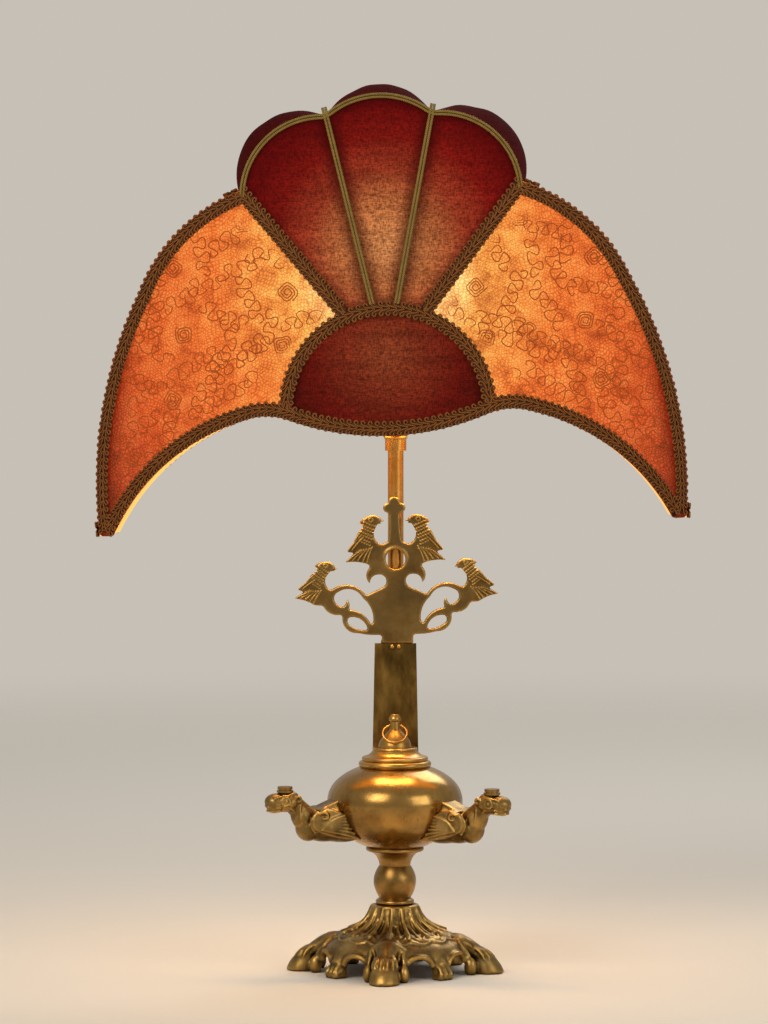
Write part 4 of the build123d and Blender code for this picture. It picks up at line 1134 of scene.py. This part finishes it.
for side in (-1, 1):
    for x, z, turned, size in birds:
        c, d = math.cos(math.radians(turned)) * size, math.sin(math.radians(turned)) * size

        def placed(u, v, out=0.0):
            return (side * (x + c * u - d * v), plaqueSet["front"] - out, z + d * u + c * v)

        for (u0, v0), (u1, v1) in wingFeathers + tailFeathers:
            mid = ((u0 + u1) / 2 + 0.5, (v0 + v1) / 2 + 0.4)
            feather = [placed(u0, v0, 0.1), placed(*mid, 0.35), placed(u1, v1, 0.1)]
            ridge(bm, feather, 0.72 * size, (0.6, 1.0, 0.7))
        for row in range(7):
            for k in range(5):
                u = 4.6 + 1.6 * k + 0.6 * row + 0.8 * (row % 2)
                v = -3.6 - 2.0 * row + 0.7 * k
                scale = [placed(u - 0.8, v + 0.3), placed(u, v - 0.8, 0.45), placed(u + 0.8, v + 0.3)]
                ridge(bm, scale, 0.5 * size, leafTaper)
        for path, thick, taper in beakLines:
            ridge(bm, [placed(u, v, -1.3) for u, v in path], thick, taper)
        eye = [placed(7.0 + 1.3 * math.cos(a), 0.4 + 1.3 * math.sin(a), 0.1) for a in around(8)]
        ridge(bm, eye, 0.42, None, True)
bmesh.ops.transform(bm, matrix=leanPlaque.inverted(), verts=bm.verts)
plate = oneSkin(bm, 0.4, 1)
print("plaque faces:", len(plate.faces))
piece = finishPiece("birdPlaque", plate, plaqueMat, "lamp", "plaque")
print("plaque chased")

# plain pale floor that fades into the backdrop's colour, and soft studio light
stageSet = {
    "radius": 3.2, "fadeFrom": 0.9, "fadeTo": 2.6, "floor": "#d9d4cc", "backdrop": "#c7c0b6",
    "room": "#e8e4dc", "roomLight": 0.55,
}
bm = bmesh.new()
bmesh.ops.create_circle(bm, cap_ends=True, segments=96, radius=stageSet["radius"])
floorMesh = bpy.data.meshes.new("floor")
bm.to_mesh(floorMesh)
bm.free()
floor = putInScene("floor", floorMesh)
floorMat, floorTree, floorShader, floorCoords = startMaterial("paleFloor")
feed(floorTree, floorShader, {"Base Color": tint(stageSet["floor"]), "Roughness": 0.9})
reach = add(floorTree, "VectorMath", {0: floorCoords}, operation="LENGTH").outputs["Value"]
fade = add(
    floorTree, "MapRange",
    {"Value": reach, "From Min": stageSet["fadeFrom"], "From Max": stageSet["fadeTo"]},
    interpolation_type="SMOOTHSTEP",
)
clear = add(floorTree, "BsdfTransparent")
blend = add(floorTree, "MixShader", {0: fade, 1: floorShader, 2: clear})
feed(floorTree, floorTree.nodes["Material Output"], {"Surface": blend})
floorMesh.materials.append(floorMat)

world = bpy.data.worlds.new("studio")
scene.world = world
world.use_nodes = True
sky = world.node_tree
room = sky.nodes["Background"]
feed(sky, room, {"Color": tint(stageSet["room"]), "Strength": stageSet["roomLight"]})
seen = add(sky, "Background", {"Color": tint(stageSet["backdrop"]), "Strength": 1.0})
cameraRay = add(sky, "LightPath").outputs["Is Camera Ray"]
sight = add(sky, "MixShader", {0: cameraRay, 1: room, 2: seen})
feed(sky, sky.nodes["World Output"], {"Surface": sight})

lampAim = (0, 0, 0.3)
lamps = {
    "shadeGlow": {
        "place": (-0.004, 0.030, 0.372), "aim": (-0.004, 0.030, 0.0), "size": 0.16, "deep": 0.08,
        "power": 0.6, "colour": "#ffcb8a",
    },
    "keySoft": {"place": (-1.1, -1.7, 1.5), "size": 1.1, "power": 26.0, "colour": "#fff3e2"},
    "fillSoft": {"place": (1.5, -1.4, 0.9), "size": 1.2, "power": 10.0, "colour": "#fff8f0"},
    "backSoft": {"place": (0.6, 1.3, 1.5), "size": 0.9, "power": 9.0, "colour": "#ffffff"},
}
for name, lamp in lamps.items():
    data = bpy.data.lights.new(name, "AREA")
    data.shape = "RECTANGLE"
    data.size = lamp["size"]
    data.size_y = lamp.get("deep", lamp["size"])
    data.energy = lamp["power"]
    data.color = tint(lamp["colour"])[:3]
    light = putInScene(name, data)
    light.location = lamp["place"]
    towards = Vector(lamp.get("aim", lampAim)) - light.location
    light.rotation_euler = towards.to_track_quat("-Z", "Y").to_euler()

# the lit bulb: a small warm light for the inside of the shade and the brass below it
bulbLamp = {"power": 4.0, "colour": "#ffc885", "radius": 0.036}
glowData = bpy.data.lights.new("bulbGlow", "POINT")
glowData.energy = bulbLamp["power"]
glowData.color = tint(bulbLamp["colour"])[:3]
glowData.shadow_soft_size = bulbLamp["radius"]
bulbGlowLamp = putInScene("bulbGlow", glowData)
bulbGlowLamp.location = bulbSpot
scene.view_settings.view_transform = "Standard"
print("stage lit")
